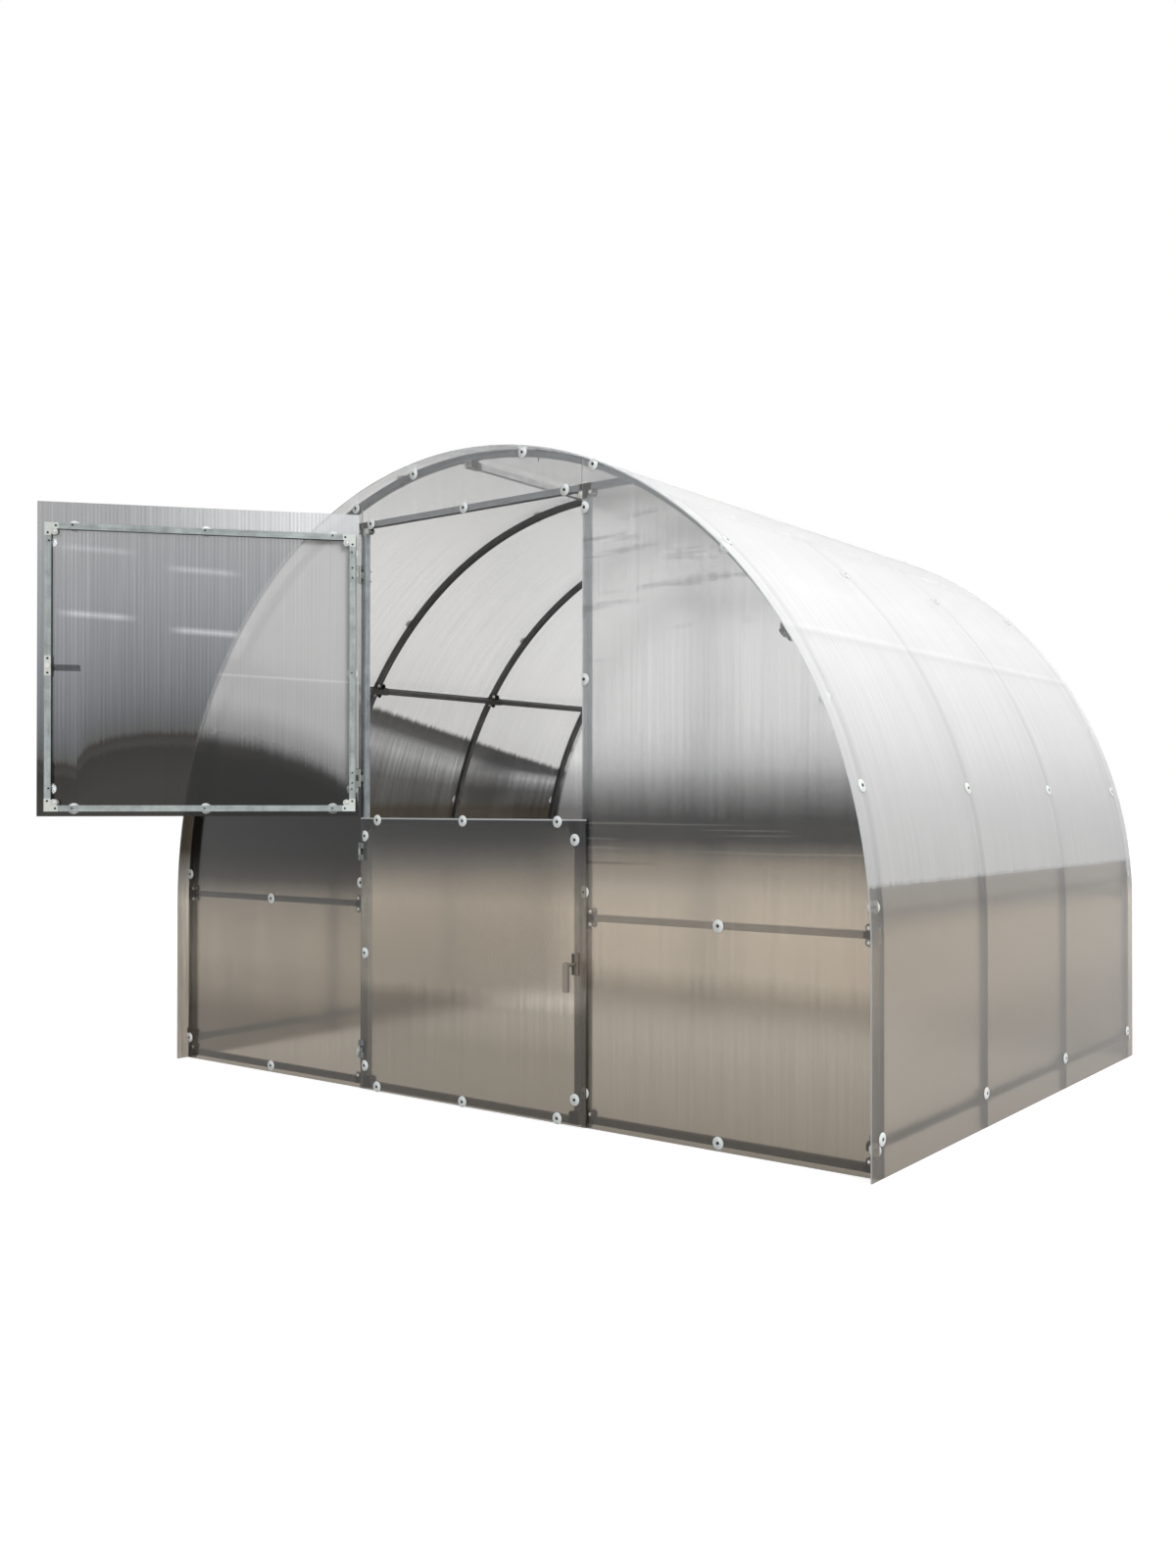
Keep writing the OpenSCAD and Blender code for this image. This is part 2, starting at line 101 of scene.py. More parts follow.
RAIL_SCREW_XS = (-0.41, -0.005, 0.40)   # along a leaf's rails, drawn closed
STILE_SCREW_LOW = 0.075                 # up from the lower end of a leaf's stile
STILE_SCREW_HIGH = 0.060                # down from its upper end
ARCH_SCREWS = (9.5, 21, 43, 64, 86)     # angles from the ridge, both ways, in an end arch
ARCH_LEG_SCREW = 0.078                  # height of the screw in an end arch's leg
HEADER_SCREWS = (-0.455, -0.012, 0.42)
SIDE_SCREW_X = 0.99                     # of the screws in the middle and bottom rails
RIGHT_POST_SCREWS = (1.862, 1.345, 0.707, 0.105)
LEFT_POST_SCREWS = (0.703, 0.125)
SLIP = 0.004                            # how far off a tube's middle line a screw may sit
ROOF_LOW_SCREW = 0.105                  # height of the bent sheet's lowest screws
RIGHT_ANGLES = (16.2, 47.5, 78)         # of its other screws, up from the level
LEFT_ANGLES = (15.3, 47.5, 78)
ROOF_SHIFT = 0.006                      # how far they sit in front of their arches' middles


def leaf_whole(bottom, top):
    """Places of the whole washers on a closed leaf, as (x, z)."""
    low, high = bottom + TUBE / 2, top - TUBE / 2 + SLIP
    places = [(x, z) for x in RAIL_SCREW_XS for z in (low, high)]
    return places + [(stile_x - SLIP, z)
                     for z in (bottom + STILE_SCREW_LOW, top - STILE_SCREW_HIGH)]


def leaf_cut(bottom, top):
    """Places of the washers that are cut at a leaf's hinge edge."""
    return [(hinge_stile_x + SLIP / 2, z)
            for z in (bottom + STILE_SCREW_LOW, (bottom + top) / 2, top - STILE_SCREW_HIGH)]


# ---- Modelling helpers ----

def pick(piece):
    """Selects one piece alone and makes it the active one."""
    bpy.ops.object.select_all(action="DESELECT")
    piece.select_set(True)
    bpy.context.view_layer.objects.active = piece


def open_up(piece):
    """Opens a piece for editing with all of it selected."""
    pick(piece)
    bpy.ops.object.mode_set(mode="EDIT")
    bpy.ops.mesh.select_mode(type="FACE")
    bpy.ops.mesh.select_all(action="SELECT")


def close_up():
    """Turns every face outwards and leaves edit mode."""
    bpy.ops.mesh.select_all(action="SELECT")
    bpy.ops.mesh.remove_doubles(threshold=1e-6)
    bpy.ops.mesh.normals_make_consistent(inside=False)
    bpy.ops.object.mode_set(mode="OBJECT")


def turned(name, sides, profile, material):
    """A turned piece on the Z axis, raised ring by ring. profile lists (radius, height) in mm."""
    bpy.ops.object.select_all(action="DESELECT")
    radius, height = profile[0]
    bpy.ops.mesh.primitive_circle_add(vertices=sides, radius=radius / 1000, fill_type="NGON")
    piece = bpy.context.object
    piece.name = name
    open_up(piece)
    bpy.ops.transform.translate(value=(0, 0, height / 1000))
    for ring_radius, ring_height in profile[1:]:
        step = (ring_height - height) / 1000
        bpy.ops.mesh.extrude_region_move(TRANSFORM_OT_translate={"value": (0, 0, step)})
        grow = ring_radius / radius
        bpy.ops.transform.resize(value=(grow, grow, 1))
        radius, height = ring_radius, ring_height
    close_up()
    piece.data.materials.append(material)
    pick(piece)
    bpy.ops.object.shade_smooth_by_angle(angle=math.radians(SMOOTH_UP_TO))
    return piece


def joined(name, pieces):
    """Several pieces joined into one."""
    bpy.ops.object.select_all(action="DESELECT")
    for piece in pieces:
        piece.select_set(True)
    bpy.context.view_layer.objects.active = pieces[0]
    if len(pieces) > 1:
        bpy.ops.object.join()
    pieces[0].name = name
    bpy.ops.object.transform_apply(location=True, rotation=True, scale=True)
    return pieces[0]


def facing(place, outward):
    """Matrix that seats a piece at a place with its Z axis pointing outward."""
    turn = Vector(outward).to_track_quat("Z", "Y").to_matrix().to_4x4()
    return Matrix.Translation(place) @ turn


def copies(piece, seats):
    """A copy of a piece, with its own mesh, at each seat."""
    made = []
    for seat in seats:
        copy = piece.copy()
        copy.data = piece.data.copy()
        bpy.context.scene.collection.objects.link(copy)
        copy.matrix_world = seat
        made.append(copy)
    return made


def fit(name, pairs, body):
    """Copies of fastener patterns at their seats, joined into one piece that rides on a body."""
    made = [copy for pattern, seats in pairs for copy in copies(pattern, seats)]
    piece = joined(name, made)
    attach(piece, body)
    return piece


def turned_back(seats):
    """The same seats on the back wall."""
    return [Matrix.Rotation(math.pi, 4, "Z") @ seat for seat in seats]


def swung_open(seats):
    """Seats on a closed upper leaf, moved to where it stands open."""
    pin = Vector((hinge_pin.x, hinge_pin.y, 0))
    swing_out = Matrix.Translation(pin) @ Matrix.Rotation(upper_open, 4, "Z")
    return [swing_out @ Matrix.Translation(-pin) @ seat for seat in seats]


# ---- Material helpers ----

class Finish:
    """A material with its node tree and short ways to add to it."""

    def __init__(self, name):
        self.material = bpy.data.materials.new(name)
        self.material.use_nodes = True
        self.tree = self.material.node_tree
        self.shader = self.tree.nodes["Principled BSDF"]
        self.output = self.tree.nodes["Material Output"]
        self.spot = self.add("ShaderNodeTexCoord").outputs["Object"]

    def add(self, kind, **settings):
        node = self.tree.nodes.new(kind)
        for key, value in settings.items():
            setattr(node, key, value)
        return node

    def link(self, source, target):
        self.tree.links.new(source, target)

    def feed(self, target, value):
        """Sets a socket to a number or colour, or links it."""
        if isinstance(value, bpy.types.NodeSocket):
            self.link(value, target)
        else:
            target.default_value = value

    def math(self, operation, first, second=0.0):
        node = self.add("ShaderNodeMath", operation=operation)
        self.feed(node.inputs[0], first)
        self.feed(node.inputs[1], second)
        return node.outputs[0]

    def plus(self, first, second):
        return self.math("ADD", first, second)

    def minus(self, first, second):
        return self.math("SUBTRACT", first, second)

    def times(self, first, second):
        return self.math("MULTIPLY", first, second)

    def reach(self, first, second):
        """Distance from two lengths at right angles."""
        return self.math("SQRT", self.plus(self.times(first, first), self.times(second, second)))

    def mapped(self, scale=(1, 1, 1), turn=0.0):
        """Object coordinates turned about Z and then scaled."""
        turned_node = self.add("ShaderNodeMapping")
        turned_node.inputs["Rotation"].default_value = (0, 0, turn)
        scaled = self.add("ShaderNodeMapping")
        scaled.inputs["Scale"].default_value = scale
        self.link(self.spot, turned_node.inputs["Vector"])
        self.link(turned_node.outputs[0], scaled.inputs["Vector"])
        return scaled.outputs[0]

    def noise(self, vector, scale, detail=2.0, rough=0.5):
        node = self.add("ShaderNodeTexNoise")
        self.link(vector, node.inputs["Vector"])
        node.inputs["Scale"].default_value = scale
        node.inputs["Detail"].default_value = detail
        node.inputs["Roughness"].default_value = rough
        return node.outputs["Fac"]

    def spread(self, value, low, high, to_low=0.0, to_high=1.0):
        node = self.add("ShaderNodeMapRange")
        self.feed(node.inputs["Value"], value)
        node.inputs["From Min"].default_value = low
        node.inputs["From Max"].default_value = high
        node.inputs["To Min"].default_value = to_low
        node.inputs["To Max"].default_value = to_high
        return node.outputs[0]

    def ramp(self, value, stops):
        """Colours along a value, from a list of (place, colour)."""
        node = self.add("ShaderNodeValToRGB")
        self.link(value, node.inputs[0])
        marks = node.color_ramp.elements
        marks[0].position, marks[0].color = stops[0][0], (*stops[0][1], 1)
        marks[1].position, marks[1].color = stops[-1][0], (*stops[-1][1], 1)
        for place, colour in stops[1:-1]:
            marks.new(place).color = (*colour, 1)
        return node.outputs[0]

    def by_height(self, level, stops):
        """Colours by height, from a list of (height, colour)."""
        return self.ramp(level, [(place / SHEET_TOP, colour) for place, colour in stops])

    def parts_of(self, vector):
        """The X, Y and Z sockets of a vector."""
        node = self.add("ShaderNodeSeparateXYZ")
        self.link(vector, node.inputs[0])
        return node.outputs

    def facing(self, turn=0.0):
        """The way that the surface looks, turned about Z."""
        node = self.add("ShaderNodeMapping", vector_type="NORMAL")
        node.inputs["Rotation"].default_value = (0, 0, turn)
        self.link(self.spot.node.outputs["Normal"], node.inputs["Vector"])
        return node.outputs[0]

    def shaded(self, colour, share):
        """A colour times a grey share."""
        node = self.add("ShaderNodeVectorMath", operation="SCALE")
        self.feed(node.inputs[0], colour)
        self.feed(node.inputs["Scale"], share)
        return node.outputs[0]

    def dimmed(self, colour, inside, share):
        """A colour that keeps a share of its light inside a mask."""
        return self.shaded(colour, self.spread(inside, 0.0, 1.0, 1.0, share))

    def blend(self, share, first, second):
        node = self.add("ShaderNodeMix", data_type="RGBA")
        self.feed(node.inputs["Factor"], share)
        self.feed(node.inputs["A"], first)
        self.feed(node.inputs["B"], second)
        return node.outputs["Result"]

    def bump(self, height, strength, distance):
        node = self.add("ShaderNodeBump")
        self.link(height, node.inputs["Height"])
        node.inputs["Strength"].default_value = strength
        node.inputs["Distance"].default_value = distance
        self.link(node.outputs[0], self.shader.inputs["Normal"])

    def set(self, **values):
        """Sets the shader's own sockets, with spaces written as underscores."""
        for key, value in values.items():
            self.feed(self.shader.inputs[key.replace("_", " ")], value)


def grey(level, warm=0.0):
    """Linear colour of a display grey from 0 to 255. warm moves it from neutral towards sand."""
    shown = [(level + warm * shift) / 255 for shift in (0.7, 0.0, -1.05)]
    return tuple(max(0.0, value) ** 2.2 for value in shown)


def greys(stops):
    """A list of (height, share) as one of (height, colour)."""
    return [(place, (share,) * 3) for place, share in stops]


def galvanised(name, along, colour, metal=0.75, rough=0.42, turn=0.0, sides=1.0, under=0.5,
               left=1.0):
    """Galvanised tube: fine draw lines along it, a soft spangle and dull cloudy patches. under
    and sides are the shares of light that its underside and its narrow sides keep, as painted
    shade; on the left of the tunnel the colour is left times as bright, as painted light where
    left is over 1 and painted shade where it is under 1."""
    finish = Finish(name)
    draw = [260, 260, 260]
    draw[along] = 6
    lines = finish.noise(finish.mapped(tuple(draw), turn), 1.0, 2.0)
    spangle = finish.noise(finish.spot, 190, 1.0)
    cloud = finish.noise(finish.spot, 22, 4.0, 0.65)
    worn = finish.plus(finish.times(lines, 0.35), finish.times(cloud, 0.65))
    low = tuple(value * 0.62 for value in colour)
    high = tuple(min(1.0, value * 1.30) for value in colour)
    body = finish.ramp(finish.spread(worn, 0.32, 0.68), [(0.0, low), (1.0, high)])
    body = finish.blend(finish.spread(spangle, 0.35, 0.7, 0.0, 0.18), body, (*high, 1))
    looks = finish.parts_of(finish.facing(turn))
    # Painted shade: the underside and the narrow sides are darker by the way they face.
    painted_underside_shade = finish.spread(looks["Z"], -0.5, -0.8, 1.0, under)
    painted_side_shade = finish.spread(finish.math("ABSOLUTE", looks["Y"]), 0.6, 0.4, 1.0, sides)
    share = finish.times(painted_underside_shade, painted_side_shade)
    # Painted light and shade by side: the left of the tunnel is left times as bright.
    if left != 1.0:
        place = finish.parts_of(finish.spot)["X"]
        share = finish.times(share, finish.spread(place, 0.2, -0.2, 1.0, left))
    body = finish.shaded(body, share)
    finish.set(Base_Color=body, Metallic=metal,
               Roughness=finish.spread(worn, 0.3, 0.7, rough - 0.08, rough + 0.12))
    finish.bump(lines, 0.10, 0.0004)
    return finish.material


def plated(name, colour, rough=0.3, metal=0.85):
    """Bright zinc plate: bluish, with a faint straw bloom and fine scuffs."""
    finish = Finish(name)
    bloom = finish.noise(finish.spot, 38, 3.0, 0.6)
    scuff = finish.noise(finish.spot, 420, 2.0)
    straw = (colour[0] * 1.02, colour[1] * 0.98, colour[2] * 0.86)
    body = finish.ramp(finish.spread(bloom, 0.35, 0.65), [(0.0, straw), (1.0, colour)])
    finish.set(Base_Color=body, Metallic=metal,
               Roughness=finish.spread(scuff, 0.3, 0.7, rough - 0.06, rough + 0.12))
    finish.bump(scuff, 0.08, 0.0003)
    return finish.material


# ---- Patterns on the sheets, in metres and shares of the tint ----

SHEET_TOP = 2.11                # above every sheet
RIB_PITCH = 0.012
PAINTED_ROUND_R = 0.018             # radius of the rounds of painted light under washers
PAINTED_TOP_LIGHT_HIGH = 0.0045               # height of the band of painted highlight on top of the lower leaf's sheet

# Colours that lie on the tint: painted highlights, painted light of the washers, painted lamp
# reflections, the cut edges and painted light lines.
HIGHLIGHT = (0.95, 0.96, 0.97, 1)
PAINTED_WASHER_LIGHT = (0.96, 0.97, 0.98, 1)
LAMP_WHITE = (0.95, 0.97, 1.0, 1)
CUT_EDGE = (0.80, 0.83, 0.85, 1)
PAINTED_LINE_LIGHT = (0.55, 0.53, 0.50, 1)

# Round border, on the open leaf, of the part that the tunnel stands behind, which carries the
# painted light and shade of the tunnel seen through the leaf: its centre from the hinge and from
# the ground, its radius, and how much narrower than round it is.
BORDER_ALONG = -0.49
BORDER_UP = 0.66
BORDER_R = 1.55
BORDER_SQUEEZE = 0.69

# Hill of the painted dark reflection at the foot of the open leaf: its middle from the hinge,
# its height and its slope.
HILL_MIDDLE = 0.445
HILL_HIGH = 0.165
HILL_SLOPE = 0.15

# Painted light line of the purlin behind the open leaf: its height at the hinge and its slope.
FAR_RAIL_Z = 1.384
FAR_RAIL_SLOPE = 0.045

# Painted reflections of strip lamps, as light bars on the open leaf: distance of the middle from
# the hinge, height and strength.
LIGHT_BARS = [(0.83, 1.806, 0.24), (0.50, 1.747, 0.34), (0.83, 1.590, 0.50),
              (0.485, 1.543, 0.55)]
BAR_HALF = 0.100
BAR_SLOPE = 0.055

# Painted shade and highlight lines of the tubes on the bent sheet: distance from the tube, half
# width, soft edge and share of light.
ARCH_MARKS = [(0.004, 0.013, 0.010, 0.93), (-0.022, 0.005, 0.005, 1.05)]
PURLIN_MARKS = [(0.0, 0.007, 0.006, 1.05), (-0.018, 0.009, 0.008, 0.96)]

# Painted dark band on the left half of the bent sheet: its fall towards the back, and the middle,
# the half sizes and the share of light of the painted shadow below it.
BAND_FALL = 0.18
BLOTCH_Y, BLOTCH_HALF_Y = 0.50, 0.19
BLOTCH_Z, BLOTCH_HALF_Z = 1.08, 0.12
BLOTCH_SHARE = 0.52
STREAKS_FADE = (1.31, 1.34)     # heights between which its stronger streaks end

# Right wall: heights at which its strokes of painted shade begin and are full, at which its thin
# lines of painted light begin and end, and of the painted dark line that runs from the door to
# DARK_LINE_X.
STROKES_FADE = (1.35, 1.60)
LINES_BEGIN = (0.80, 0.84)
LINES_END = (0.93, 0.97)
DARK_LINE_Z = 0.797
DARK_LINE_X = (0.60, 0.80)


def line_at(finish, place, middle, half, soft):
    """A band of a surface round a place, with soft edges."""
    aside = finish.math("ABSOLUTE", finish.minus(place, middle))
    return finish.spread(aside, half + soft, half - soft)


def round_at(finish, aside, up):
    """A round of painted light on a sheet, from the distances to its middle."""
    return finish.spread(finish.reach(aside, up), PAINTED_ROUND_R + 0.0008, PAINTED_ROUND_R - 0.0008)


def left_of_ridge(finish):
    """The half of the bent sheet on the left of its ridge."""
    return finish.spread(finish.parts_of(finish.spot)["X"], 0.02, -0.02)


def leaf_places(finish):
    """Distance from the hinge along the open leaf, and height."""
    turn = -upper_open
    places = finish.parts_of(finish.mapped(turn=turn))
    start = hinge_pin.x * math.cos(turn) - hinge_pin.y * math.sin(turn)
    return finish.minus(places["X"], start), places["Z"]


def over_the_tunnel(finish):
    """The part of the open leaf that the tunnel stands behind, out to a round border: where the
    leaf carries the painted light and shade of the tunnel seen through it.
    """
    along, height = leaf_places(finish)
    across = finish.math("DIVIDE", finish.minus(along, BORDER_ALONG), BORDER_SQUEEZE)
    reach = finish.reach(across, finish.minus(height, BORDER_UP))
    return finish.spread(reach, BORDER_R + 0.012, BORDER_R - 0.012)


def hill(finish):
    """How far the painted dark reflection at the open leaf's foot rises along it, as a lopsided
    hill.
    """
    along, _ = leaf_places(finish)
    aside = finish.math("DIVIDE", finish.minus(along, HILL_MIDDLE), HILL_MIDDLE)
    rest = finish.minus(1.0, finish.times(aside, aside))
    dome = finish.math("SQRT", finish.math("MAXIMUM", rest, 0.0))
    return finish.plus(finish.times(dome, HILL_HIGH), finish.times(along, HILL_SLOPE))


def far_slope(finish):
    """Fall of the painted dark band towards the back, on the left half of the bent sheet."""
    places = finish.parts_of(finish.spot)
    band = finish.times(left_of_ridge(finish), finish.spread(places["Z"], 1.0, 1.14))
    return finish.times(finish.times(places["Y"], -BAND_FALL), band)


def painted_shadow_blotch(finish, tint_and_painted_light):
    """A soft painted shadow below the edge of the painted dark band on the bent sheet's left half.
    """
    places = finish.parts_of(finish.spot)
    aside = finish.math("DIVIDE", finish.minus(places["Y"], BLOTCH_Y), BLOTCH_HALF_Y)
    up = finish.math("DIVIDE", finish.minus(places["Z"], BLOTCH_Z), BLOTCH_HALF_Z)
    spot = finish.plus(finish.times(aside, aside), finish.times(up, up))
    inside = finish.times(finish.spread(spot, 1.4, 0.4), left_of_ridge(finish))
    return finish.dimmed(tint_and_painted_light, inside, BLOTCH_SHARE)


def painted_far_rail_line(finish, tint_and_painted_light):
    """A thin line of painted light on the open leaf, where a purlin stands behind it."""
    along, height = leaf_places(finish)
    level = finish.minus(height, finish.times(along, FAR_RAIL_SLOPE))
    line = finish.times(line_at(finish, level, FAR_RAIL_Z, 0.003, 0.003), over_the_tunnel(finish))
    return finish.blend(finish.times(line, 0.7), tint_and_painted_light, HIGHLIGHT)


def painted_top_highlight(finish, tint_and_painted_light):
    """A band of painted highlight over the open leaf's top rail, paler towards the hinge."""
    along, height = leaf_places(finish)
    top = upper_high.z
    pale = finish.times(finish.spread(height, top - 0.01, top + 0.01),
                        finish.spread(along, 0.75, 0.15, 0.0, 0.8))
    return finish.blend(pale, tint_and_painted_light, HIGHLIGHT)


def light_bars(finish, tint_and_painted_light):
    """Painted reflections of strip lamps on the open leaf, as soft light bars."""
    along, height = leaf_places(finish)
    for x, z, share in LIGHT_BARS:
        aside = finish.minus(along, x)
        level = finish.minus(height, finish.times(aside, BAR_SLOPE))
        bar = finish.times(line_at(finish, level, z, 0.006, 0.009),
                           line_at(finish, aside, 0.0, BAR_HALF, 0.030))
        tint_and_painted_light = finish.blend(finish.times(bar, share), tint_and_painted_light, LAMP_WHITE)
    return tint_and_painted_light


def painted_tube_lines(finish, tint_and_painted_light, place, tube, marks):
    """Soft lines of painted shade and highlight that a tube leaves on the sheet."""
    for aside, half, soft, share in marks:
        tint_and_painted_light = finish.dimmed(tint_and_painted_light, line_at(finish, place, tube + aside, half, soft), share)
    return tint_and_painted_light


def painted_frame_lines(finish, tint_and_painted_light):
    """Painted shade as soft grey bands where the arches lie against the bent sheet, each with a
    painted highlight line in front of it, and a painted highlight line with a painted shade line
    under it along the side purlins."""
    places = finish.parts_of(finish.spot)
    for y in arch_ys:
        tint_and_painted_light = painted_tube_lines(finish, tint_and_painted_light, places["Y"], y, ARCH_MARKS)
    return painted_tube_lines(finish, tint_and_painted_light, places["Z"], purlin_z, PURLIN_MARKS)


def far_rounds(finish, tint_and_painted_light):
    """Rounds of painted light under the washers on the left half of the bent sheet."""
    places = finish.parts_of(finish.spot)
    height = leg_h + roof_r * math.sin(math.radians(LEFT_ANGLES[0]))
    up = finish.minus(places["Z"], height)
    for y in arch_ys:
        along = finish.minus(places["Y"], y - ROOF_SHIFT)
        near = finish.times(round_at(finish, along, up), left_of_ridge(finish))
        tint_and_painted_light = finish.blend(near, tint_and_painted_light, PAINTED_WASHER_LIGHT)
    return tint_and_painted_light


def leaf_rounds(finish, tint_and_painted_light):
    """Rounds of painted light under the washers on the open leaf."""
    along, height = leaf_places(finish)
    near = 0.0
    for x, z in leaf_whole(upper_low.z, upper_high.z) + leaf_cut(upper_low.z, upper_high.z):
        aside = finish.minus(along, x - hinge_pin.x)
        up = finish.minus(height, z)
        near = finish.math("MAXIMUM", round_at(finish, aside, up), near)
    return finish.blend(near, tint_and_painted_light, PAINTED_WASHER_LIGHT)


def painted_strokes_and_lines(finish, tint_and_painted_light):
    """Painted shade as flat grey strokes on the upper part of a sheet, thin lines of painted light
    low on it and a painted dark line under them beside the door."""
    places = finish.parts_of(finish.spot)
    height = places["Z"]
    comb = finish.noise(finish.mapped((90, 1.6, 1.6)), 1.0, 3.0, 0.7)
    wide = finish.noise(finish.mapped((2.2, 2.2, 26)), 1.0, 2.0, 0.6)
    fray = finish.plus(wide, finish.spread(comb, 0.2, 0.8, -0.08, 0.08))
    up_high = finish.spread(height, *STROKES_FADE)
    stroke = finish.times(finish.spread(fray, 0.58, 0.68), up_high)
    tint_and_painted_light = finish.dimmed(tint_and_painted_light, stroke, 0.80)
    thin = finish.noise(finish.mapped((1.1, 1.1, 120)), 1.0, 1.0)
    low_down = finish.times(finish.spread(height, *LINES_BEGIN),
                            finish.spread(height, *LINES_END, 1.0, 0.0))
    line = finish.times(finish.spread(thin, 0.60, 0.68), low_down)
    tint_and_painted_light = finish.blend(finish.times(line, 0.5), tint_and_painted_light, PAINTED_LINE_LIGHT)
    dark = finish.times(line_at(finish, height, DARK_LINE_Z, 0.003, 0.003),
                        finish.spread(places["X"], *DARK_LINE_X, 1.0, 0.0))
    return finish.dimmed(tint_and_painted_light, dark, 0.6)


def rib_lines(finish, turn, contrast):
    """Even ribs side by side along a sheet, stronger in some patches than in others."""
    along = finish.parts_of(finish.mapped(turn=turn))["X"]
    wave = finish.math("SINE", finish.times(along, 2 * math.pi / RIB_PITCH))
    patches = finish.noise(finish.mapped((5, 5, 5), turn), 1.0, 2.0)
    return finish.times(wave, finish.spread(patches, 0.35, 0.65, 0.3 * contrast, contrast))


def cut_edges(finish, across, turn, painted_top_light_from):
    """The narrow sides of a sheet, and, as a painted highlight, all of it from a given height up.
    """
    looks = finish.parts_of(finish.facing(turn))
    endways = finish.math("ABSOLUTE", looks["Y" if across == 1 else "Z"])
    rim = finish.math("GREATER_THAN", endways, 0.7)
    if painted_top_light_from:
        height = finish.parts_of(finish.spot)["Z"]
        rim = finish.math("MAXIMUM", rim, finish.math("GREATER_THAN", height, painted_top_light_from))
    return rim


def let_light_by(finish, tint_and_painted_light):
    """Lets light through the sheet as tinted light, so that its shadow stays thin."""
    clear = finish.add("ShaderNodeBsdfTransparent")
    finish.link(tint_and_painted_light, clear.inputs["Color"])
    light_path = finish.add("ShaderNodeLightPath")
    mix = finish.add("ShaderNodeMixShader")
    finish.link(light_path.outputs["Is Shadow Ray"], mix.inputs[0])
    finish.link(finish.shader.outputs[0], mix.inputs[1])
    finish.link(clear.outputs[0], mix.inputs[2])
    finish.link(mix.outputs[0], finish.output.inputs["Surface"])


def twin_wall(name, tones, haze, across=0, turn=0.0, rough=0.25, ragged=0.012, streaky=0.03,
              fluted=0.04, fine=1.0, ribs=0.0, zone=None, zone_tones=None, zone_haze=None,
              zone_ragged=0.0, zone_streaky=0.0, rise=None, marks=(), rounds=None, painted_top_light_from=None):
    """Twin-wall sheet: a clear skin over fine flutes. tones gives its tint by height, which holds
    painted reflections of the surroundings, and haze how milky it is by height; across is the axis
    that the flutes stand side by side on, fine makes its streaks finer and ribs is the contrast of
    its ribs. A zone of the sheet may have tones, haze and streaks of its own and a more ragged
    edge to them, and rise lifts them along the sheet. marks lists the painted shade, light and
    reflections that lie on the tint, under the streaks, and rounds gives the rounds of painted
    light over them. From a given height up the sheet is as pale as its cut edges, as a painted
    highlight."""
    finish = Finish(name)
    streaks = [1.6, 1.6, 1.6]
    streaks[across] = 60 * fine
    flutes = [2, 2, 2]
    flutes[across] = 260
    streak = finish.noise(finish.mapped(tuple(streaks), turn), 1.0, 4.0, 0.7)
    flute = finish.noise(finish.mapped(tuple(flutes), turn), 1.0, 1.0)
    mask = zone(finish) if zone else None

    reach = ragged
    if mask:
        reach = finish.plus(finish.times(mask, zone_ragged), ragged)
    wander = finish.times(finish.spread(streak, 0.25, 0.75, -1.0, 1.0), reach)
    level = finish.plus(finish.parts_of(finish.spot)["Z"], wander)
    if rise:
        level = finish.minus(level, rise(finish))
    level = finish.spread(level, 0.0, SHEET_TOP)
    # Painted reflections of the surroundings, by height.
    tint_and_painted_light = finish.by_height(level, tones)
    milky = finish.by_height(level, greys(haze))
    if mask:
        tint_and_painted_light = finish.blend(mask, tint_and_painted_light, finish.by_height(level, zone_tones))
        milky = finish.blend(mask, milky, finish.by_height(level, greys(zone_haze)))
    for mark in marks:
        tint_and_painted_light = mark(finish, tint_and_painted_light)

    lines = finish.plus(finish.spread(streak, 0.3, 0.7, -streaky, streaky),
                        finish.spread(flute, 0.3, 0.7, -fluted, fluted))
    if ribs:
        lines = finish.plus(lines, rib_lines(finish, turn, ribs))
    if zone_streaky:
        end, full = (z / SHEET_TOP for z in reversed(STREAKS_FADE))
        low_down = finish.spread(level, end, full)
        more = finish.spread(streak, 0.35, 0.65, -2 * zone_streaky, 0.0)
        lines = finish.plus(lines, finish.times(finish.times(more, mask), low_down))
    elif mask:
        lines = finish.times(lines, finish.spread(mask, 0.0, 1.0, 1.0, 0.3))
    tint_and_painted_light = finish.shaded(tint_and_painted_light, finish.plus(lines, 1.0 - streaky - fluted))
    if rounds:
        tint_and_painted_light = rounds(finish, tint_and_painted_light)

    rim = cut_edges(finish, across, turn, painted_top_light_from)
    tint_and_painted_light = finish.blend(rim, tint_and_painted_light, CUT_EDGE)
    haze_share = finish.math("MAXIMUM", milky, finish.times(rim, 0.5))
    finish.set(Base_Color=tint_and_painted_light, Roughness=rough, IOR=1.45,
               Transmission_Weight=finish.minus(1.0, haze_share))
    if not ribs:
        finish.bump(flute, 0.08, 0.0005)
    let_light_by(finish, tint_and_painted_light)
    return finish.material


# ---- Finishes ----

# Tones of the one galvanised steel and of its zinc plates, set part by part as lit and shaded
# copies: painted light on the brighter ones and painted shade on the darker ones.
ARCH_STEEL = grey(92)
FRONT_STEEL = (0.155, 0.172, 0.187)
HEADER_STEEL = (0.115, 0.128, 0.14)
POST_STEEL = (0.27, 0.295, 0.31)
LEAF_STEEL = (0.33, 0.365, 0.36)
PLATE_ZINC = (0.56, 0.60, 0.61)
CLAMP_ZINC = (0.50, 0.53, 0.54)
HINGE_ZINC = (0.34, 0.365, 0.375)

